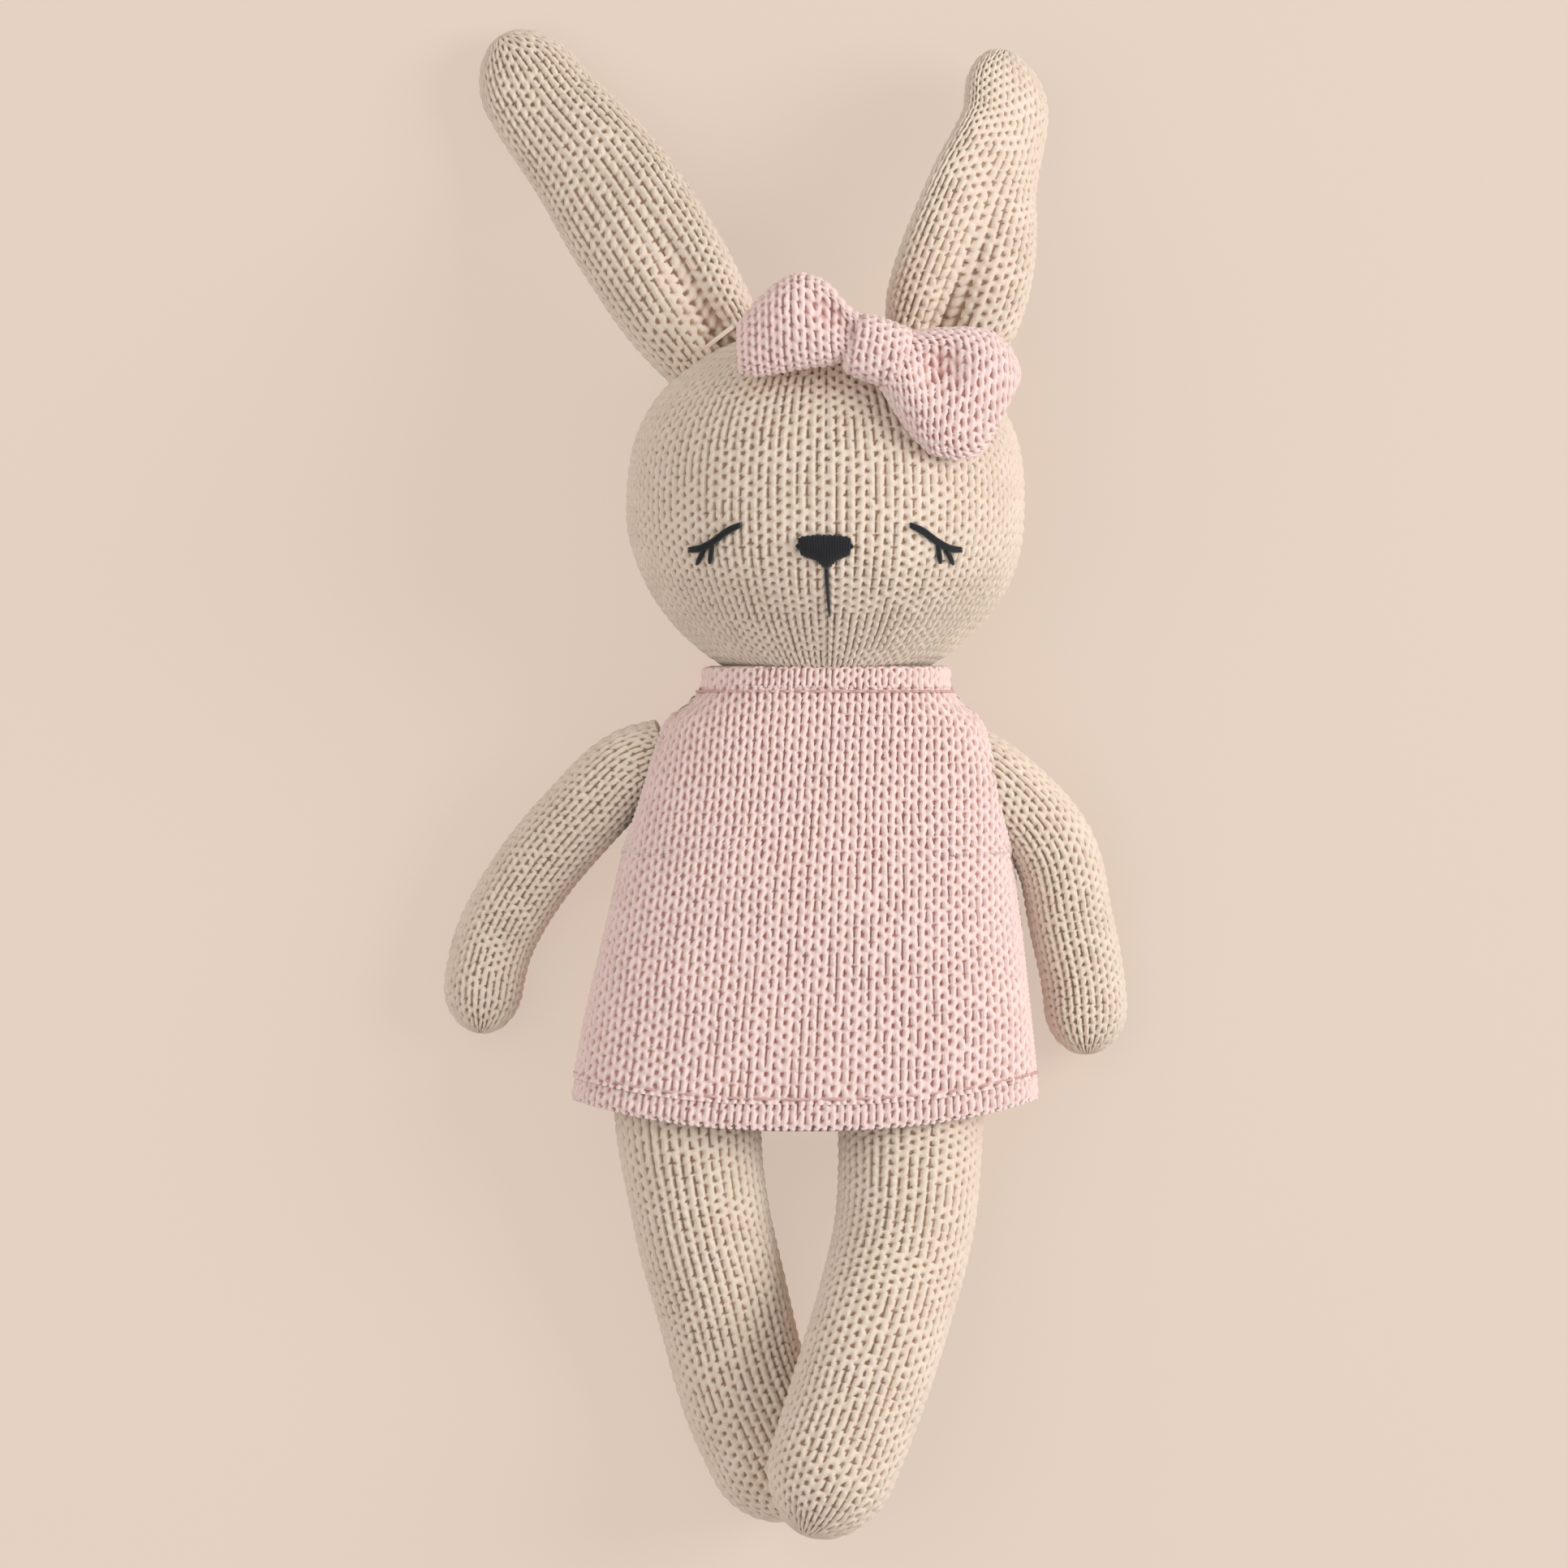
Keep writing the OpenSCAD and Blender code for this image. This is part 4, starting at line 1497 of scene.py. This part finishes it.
@dataclass
class Toy:
    """The whole rabbit."""

    plan: Plan
    wardrobe: Wardrobe
    made: dict[str, bpy.types.Object] = field(default_factory=dict)

    def keep(self, piece: bpy.types.Object, slot: Slot, *nodes: str) -> bpy.types.Object:
        """Finish a piece and note it.

        Args:
            piece: the piece.
            slot: its finish.
            *nodes: the part's nodes that it stands in for.

        Returns:
            The piece.
        """
        self.wardrobe.dress(piece, slot)
        if nodes:
            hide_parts(*nodes)
        self.made[piece.name] = piece
        return piece

    def bend(self, piece: bpy.types.Object) -> None:
        """Bake a piece's place into its mesh; it follows no body.

        Args:
            piece: the piece.
        """
        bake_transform(piece)

    def make_stuffed(
        self, name: str, surface: Surface, a: str, b: str, inner: str
    ) -> None:
        """Make a knitted cover and what fills it, which follow one body, or no body where two are named.

        Args:
            name: the piece's name.
            surface: the cover's outside.
            a: the body that both follow, when b is the same.
            b: the second body; when it differs from a, neither piece follows a body.
            inner: what the part calls its filling.
        """
        cover = self.keep(tube_piece(f"{name}_knit", surface), Slot.BEIGE, f"{name}_cover")
        first_row = 26 if name == "head" else 4
        fibre = filling_piece(f"{name}_{inner}_fibre", surface, first_row)
        filling = self.keep(fibre, Slot.FIBRE, f"{name}_{inner}")
        for piece in (cover, filling):
            if a == b:
                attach(piece, a)
            else:
                self.bend(piece)

    def make_body(self) -> None:
        """Make the body, which the dress hides."""
        p = self.plan
        body = Limb(
            "body",
            np.array([p.at(0, 2, 26), p.at(-1.5, -28, 25), p.at(-3, -60, 24.5), p.at(-5, -99, 23)]),
            (44, 66, 84, 92, 94),
            (36, 42, 43, 43, 40),
            16.0,
            44,
            3.4,
            seed=51,
            square=2.4,
        )
        self.make_stuffed(body.name, body.surface(), "torso", "torso", "stuffing")

    def make_head(self) -> None:
        """Make the head, its face and its stuffing."""
        p = self.plan
        head = Head(p)
        start, end = p.at(0, 1, 30), p.at(0, 24, 30)
        self.make_stuffed("head", head.surface(), "neck", "head", "stuffing")
        self.make_face(head)

    def make_face(self, head: Head) -> None:
        """Make the embroidered eyes, nose and mouth.

        Args:
            head: the head that they lie on.
        """
        shift = -0.45
        for side, name in ((-1, "eye_left"), (1, "eye_right")):
            lid = [(23.5, 39.2), (27.2, 37.4), (31.0, 34.6), (34.4, 32.8), (37.9, 32.3)]
            lashes = [[(33.2, 32.9), (34.4, 30.4), (35.6, 27.9)], [(31.2, 34.0), (31.6, 30.9), (32.0, 28.2)]]
            strokes = [lid, [(x, y - 0.7) for x, y in lid], *lashes]
            paths = [head.stroke([(side * x + shift, y) for x, y in line], 0.35) for line in strokes]
            piece = threads_piece(f"{name}_stitches", paths, 0.74, UP, 8, 0.45)
            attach(self.keep(piece, Slot.CHARCOAL, name), "head")
        self.make_nose(head)
        line = head.stroke([(-0.3, 29.4), (0.2, 21.0), (0.8, 13.6)], 0.2)
        mouth = threads_piece("mouth_stitches", [line], np.linspace(0.62, 0.38, len(line)), UP, 8, 0.2)
        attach(self.keep(mouth, Slot.CHARCOAL, "mouth"), "head")

    def make_nose(self, head: Head) -> None:
        """Make the nose: a wide oval of satin stitches with a point below.

        Args:
            head: the head that it lies on.
        """
        count, points = 21, 14
        paths = []
        for k in range(count):
            t = 2 * k / (count - 1) - 1
            round_side = np.sqrt(max(0.0, 1 - t * t))
            top = (-0.7 + 7.6 * t, 33.2 + 2.8 * round_side**0.35 + 0.1 * (-1) ** k)
            low = (-0.4 + 7.0 * t, 32.4 - 3.2 * round_side**0.6 - 2.4 * float(bump(t, 0.05, 0.3)))
            middle = ((top[0] + low[0]) / 2, (top[1] + low[1]) / 2)
            arch = 0.45 + 0.75 * np.sin(np.pi * np.linspace(0.05, 0.95, points)) * (0.4 + 0.6 * round_side)
            paths.append(head.stroke([top, middle, low], arch, points))
        nose = threads_piece("nose_stitches", paths, 0.68, UP, 8, 0.35)
        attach(self.keep(nose, Slot.CHARCOAL, "nose"), "head")

    def make_ears(self) -> None:
        """Make both ears."""
        p = self.plan
        left = Limb(
            "ear_left",
            np.array(
                [p.at(-28.5, 84, 38), p.at(-39.5, 100, 36), p.at(-52, 120, 29), p.at(-64.5, 139, 19), p.at(-79, 157, 11),
                 p.at(-91, 176, 8)]
            ),
            (30, 36, 38, 37.5, 34, 30, 26.5),
            (19, 20, 16, 13, 13, 13, 12.5),
            17.0,
            20,
            3.25,
            crease=(0.2, 10.0, 56.0),
            seed=61,
        )
        right = Limb(
            "ear_right",
            np.array(
                [p.at(28, 82, 38), p.at(34.6, 98, 40), p.at(40, 116, 39), p.at(44.5, 134, 34), p.at(49.8, 152, 26),
                 p.at(50, 171.5, 18)]
            ),
            (27, 38, 40, 38, 34, 31, 28),
            (19, 20, 17, 14, 13, 13, 12.5),
            15.0,
            21,
            3.25,
            roll=(0.0, -12.0, -30.0, -46.0, -48.0),
            crease=(-0.05, 9.5, 62.0),
            seed=67,
        )
        for limb in (left, right):
            self.make_stuffed(limb.name, limb.surface(), "head", limb.name, "filling")

    def make_arms(self) -> None:
        """Make both arms."""
        p = self.plan
        left = Limb(
            "arm_left",
            np.array(
                [p.at(-44, -24, 24), p.at(-54.7, -28.5, 23), p.at(-65.4, -38.9, 20), p.at(-79.7, -55, 14),
                 p.at(-90.4, -72, 11), p.at(-95.2, -86.5, 10.6), p.at(-96.7, -102.5, 10.6)]
            ),
            (20, 23, 23.5, 23.4, 23, 22.5, 22),
            (20, 22, 22, 21.5, 21, 21, 20.5),
            13.0,
            17,
            2.95,
            seed=71,
        )
        right = Limb(
            "arm_right",
            np.array(
                [p.at(38, -25, 24), p.at(49.8, -34, 24), p.at(63.3, -51, 20), p.at(68.3, -72, 14),
                 p.at(71.8, -89.5, 11), p.at(72.8, -108.4, 10.6)]
            ),
            (20, 22.5, 24, 24, 23.5, 22.5),
            (20, 22, 22, 21.5, 21, 20.5),
            13.0,
            17,
            2.95,
            seed=73,
        )
        for limb in (left, right):
            self.make_stuffed(limb.name, limb.surface(), "torso", limb.name, "stuffing")

    def make_legs(self) -> None:
        """Make both legs: the right foot lies on the left one."""
        p = self.plan
        left = Limb(
            "leg_left",
            np.array(
                [p.at(-38.4, -98, 22.5), p.at(-38.4, -128, 22), p.at(-34.8, -154, 19), p.at(-29.1, -176.6, 16.5),
                 p.at(-23.2, -199.3, 15), p.at(-14.5, -219, 14.6), p.at(-5, -237, 14.6)]
            ),
            (40, 41, 38.5, 38, 37, 38, 36),
            (38, 38.5, 36, 33, 30, 29, 28),
            20.0,
            22,
            3.2,
            seed=81,
        )
        right = Limb(
            "leg_right",
            np.array(
                [p.at(24.4, -98, 22.5), p.at(23.7, -128, 23), p.at(22.0, -153, 27), p.at(18.3, -171, 31),
                 p.at(12.4, -191, 37), p.at(3.2, -218, 41.5), p.at(-6.2, -242, 42)]
            ),
            (40, 41, 39.5, 38.5, 38, 36.5, 33),
            (38, 38.5, 36, 33, 30, 29, 28),
            20.0,
            22,
            3.2,
            seed=83,
        )
        for limb in (left, right):
            self.make_stuffed(limb.name, limb.surface(), "torso", limb.name, "stuffing")

    def make_dress(self) -> None:
        """Make the dress."""
        shape = DressShape(self.plan)
        dress = Dress(shape)
        top, bottom = dress.collar_h - 1.0, shape.length - dress.hem_h + 1.0
        fold_anchor = [c * MM for c in self.plan.at(0, -dress.waist, 25)]
        holes = {1: Armhole(), -1: Armhole(cut=30.0)}
        for front, name in ((1, "dress_front"), (-1, "dress_back")):
            bodice, skirt = dress.panels(name, front, top, bottom, holes[front])
            self.keep(bodice, Slot.PINK, name)
            self.keep(skirt, Slot.PINK, name)
            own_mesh(skirt)
        hem = dress.band("hem_band_knit", shape.length - dress.hem_h, shape.length, 0.0, 41)
        self.keep(hem, Slot.PINK, "hem_band")
        collar = dress.band("collar_band_knit", 0.0, dress.collar_h, 0.4, 43)
        self.keep(collar, Slot.PINK, "collar_band")
        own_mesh(hem)
        for side, word in ((-1, "left"), (1, "right")):
            edge = dress.edge(f"armhole_edge_{word}_knit", side, holes)
            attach(self.keep(edge, Slot.PINK, f"armhole_edge_{word}"), "torso")
            seam = dress.side_seam(f"dress_seam_{word}_thread", side, holes[1])
            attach(self.keep(seam, Slot.PINK, f"dress_seam_{word}"), "torso")
            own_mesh(seam)
        collar_line = dress.running_stitch("collar_topstitch_thread", dress.collar_h + 0.6, -0.35, 0.45)
        hem_line = dress.running_stitch("hem_topstitch_thread", shape.length - dress.hem_h - 0.4, -0.35, 0.45)
        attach(self.keep(collar_line, Slot.ROSE, "collar_topstitch"), "torso")
        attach(self.keep(hem_line, Slot.ROSE, "hem_topstitch"), "torso")
        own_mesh(hem_line)

    def make_bow(self) -> None:
        """Make the bow: two loops, and a knot wrapped round their middle."""
        p = self.plan
        left = BowLoop(
            "bow_loop_left",
            np.array(
                [p.at(12, 89, 80.5), p.at(7, 91.5, 80.5), p.at(1.7, 94.2, 80), p.at(-6.5, 95.4, 79),
                 p.at(-14, 93.2, 78), p.at(-20, 90, 77), p.at(-25, 87.6, 76)]
            ),
            (13, 16, 24.5, 27.5, 26, 22, 15),
            (9, 12, 16, 17, 15, 12, 9),
            91,
            fold=4.0,
            hollow=(0.3, 0.3),
        )
        right = BowLoop(
            "bow_loop_right",
            np.array([p.at(18.5, 84.6, 80.5), p.at(29, 79.6, 80), p.at(39, 74.6, 77), p.at(49, 69.4, 74)]),
            (18, 27, 34.5, 39, 36, 26),
            (9, 14, 17, 16, 13, 9),
            93,
            slant=0.4,
            fold=7.5,
            hollow=(0.34, -0.22),
        )
        for loop in (left, right):
            piece = self.keep(loop.make(), Slot.PINK, "bow_band")
            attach(piece, "head")
        self.make_knot()

    def make_knot(self) -> None:
        """Make the knot: a short knitted band wrapped round the loops."""
        p = self.plan
        centre = np.array(p.at(14.3, 87.0, 80))
        turn = np.radians(-20)
        along = np.array([np.cos(turn), np.sin(turn), 0.0])
        across = np.array([-np.sin(turn), np.cos(turn), 0.0])
        rows, courses, wale, half_long = 28, 18, 4.5, 8.7
        columns = courses * FINE.rows
        s = np.linspace(-1, 1, rows)
        end = (1 - np.abs(s) ** 5) ** 0.5 * 0.45 + 0.55
        turns = -np.linspace(0, 2 * np.pi, columns, endpoint=False)
        half_wide, half_deep = 9.4 * end, 8.2 * end
        sideways, upwards = np.broadcast_to(-across, (rows, 3)), np.broadcast_to(UP, (rows, 3))
        ring = section_ring(sideways, upwards, half_wide, half_deep, turns, 2.4)
        points = centre + along * (s * half_long)[:, None, None] + ring
        v = np.broadcast_to(-turns[None, :] / (2 * np.pi) * courses, points.shape[:2])
        u = s[:, None] * half_long / wale + 0.15 * np.minimum(v, courses - v)
        knot = tube_piece("bow_knot_knit", Surface(points, u, v, True, 97))
        self.keep(knot, Slot.PINK, "bow_knot")
        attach(knot, "head")

    def dress_the_rest(self) -> None:
        """Give the carried-over nodes of the part a procedural finish too."""
        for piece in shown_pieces():
            if piece.name in self.made:
                continue
            look = CARRIED_OVER.get(piece.name.split(".")[0])
            if look is None:
                log.warning("no finish for %s", piece.name)
            else:
                self.wardrobe.dress(piece, Slot.ROSE, look)


# ---------- the room ----------


@dataclass(frozen=True)
class Studio:
    """The floor, the lights and the camera.

    Attributes:
        floor: the floor's colour.
        glow: share of the floor's colour that it gives off itself, as a lit backdrop does.
        distance: height of the camera.
        view: width of the view on the floor.
        air: brightness of the light from all round.
    """

    floor: Colour = (0.775, 0.638, 0.539)
    glow: float = 0.72
    distance: float = 9.0
    view: float = 0.438
    air: float = 0.53

    def lay_floor(self) -> None:
        """Lay a plain pale floor."""
        bpy.ops.mesh.primitive_plane_add(size=6.0, location=(0, 0, 0))
        plane = bpy.context.object
        plane.name = "floor"
        material = bpy.data.materials.new("floor_paint")
        material.use_nodes = True
        shader = material.node_tree.nodes["Principled BSDF"]
        rest = 1 - self.glow
        shader.inputs["Base Color"].default_value = (*(rest * channel for channel in self.floor), 1.0)
        shader.inputs["Emission Color"].default_value = (*self.floor, 1.0)
        shader.inputs["Emission Strength"].default_value = self.glow
        shader.inputs["Roughness"].default_value = 0.85
        shader.inputs["Specular IOR Level"].default_value = 0.1
        plane.data.materials.append(material)
        plane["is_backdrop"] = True

    def hang_light(self, name: str, place: Place, size: float, power: float, colour: Colour) -> None:
        """Hang a square soft light that looks at the toy.

        Args:
            name: its name.
            place: where it hangs.
            size: its side.
            power: its power in watts.
            colour: its colour.
        """
        data = bpy.data.lights.new(name, "AREA")
        data.size = size
        data.energy = power
        data.color = colour
        lamp = bpy.data.objects.new(name, data)
        lamp.location = place
        lamp.rotation_euler = (-lamp.location).to_track_quat("-Z", "Y").to_euler()
        bpy.context.scene.collection.objects.link(lamp)

    def light(self) -> None:
        """Light the toy from the viewer's right, with a soft fill from above."""
        self.hang_light("key", (2.0, 0.4, 1.2), 1.2, 40.0, (1.0, 1.0, 1.0))
        self.hang_light("fill", (-1.2, 0.2, 2.0), 2.4, 17.0, (1.0, 0.99, 0.98))
        world = bpy.data.worlds.new("room")
        world.use_nodes = True
        sky = world.node_tree.nodes["Background"]
        sky.inputs["Color"].default_value = (1.0, 0.96, 0.92, 1.0)
        sky.inputs["Strength"].default_value = self.air
        bpy.context.scene.world = world
        bpy.context.scene.view_settings.view_transform = "Standard"

    def set_camera(self) -> None:
        """Set the camera straight above the toy."""
        data = bpy.data.cameras.new("camera")
        data.sensor_width = 36.0
        data.lens = data.sensor_width * self.distance / self.view
        data.clip_end = 20.0
        camera = bpy.data.objects.new("camera", data)
        camera.location = (-0.0012, -0.0011, self.distance)
        bpy.context.scene.collection.objects.link(camera)
        bpy.context.scene.camera = camera


def main() -> None:
    """Build the rabbit and its room."""
    toy = Toy(Plan.from_frame(), Wardrobe())
    log.info("collar at %.2f, %.2f", toy.plan.x, toy.plan.y)
    toy.make_head()
    toy.make_ears()
    toy.make_arms()
    toy.make_legs()
    toy.make_body()
    toy.make_dress()
    toy.make_bow()
    toy.dress_the_rest()
    studio = Studio()
    studio.lay_floor()
    studio.light()
    studio.set_camera()


if __name__ == "__main__":
    main()
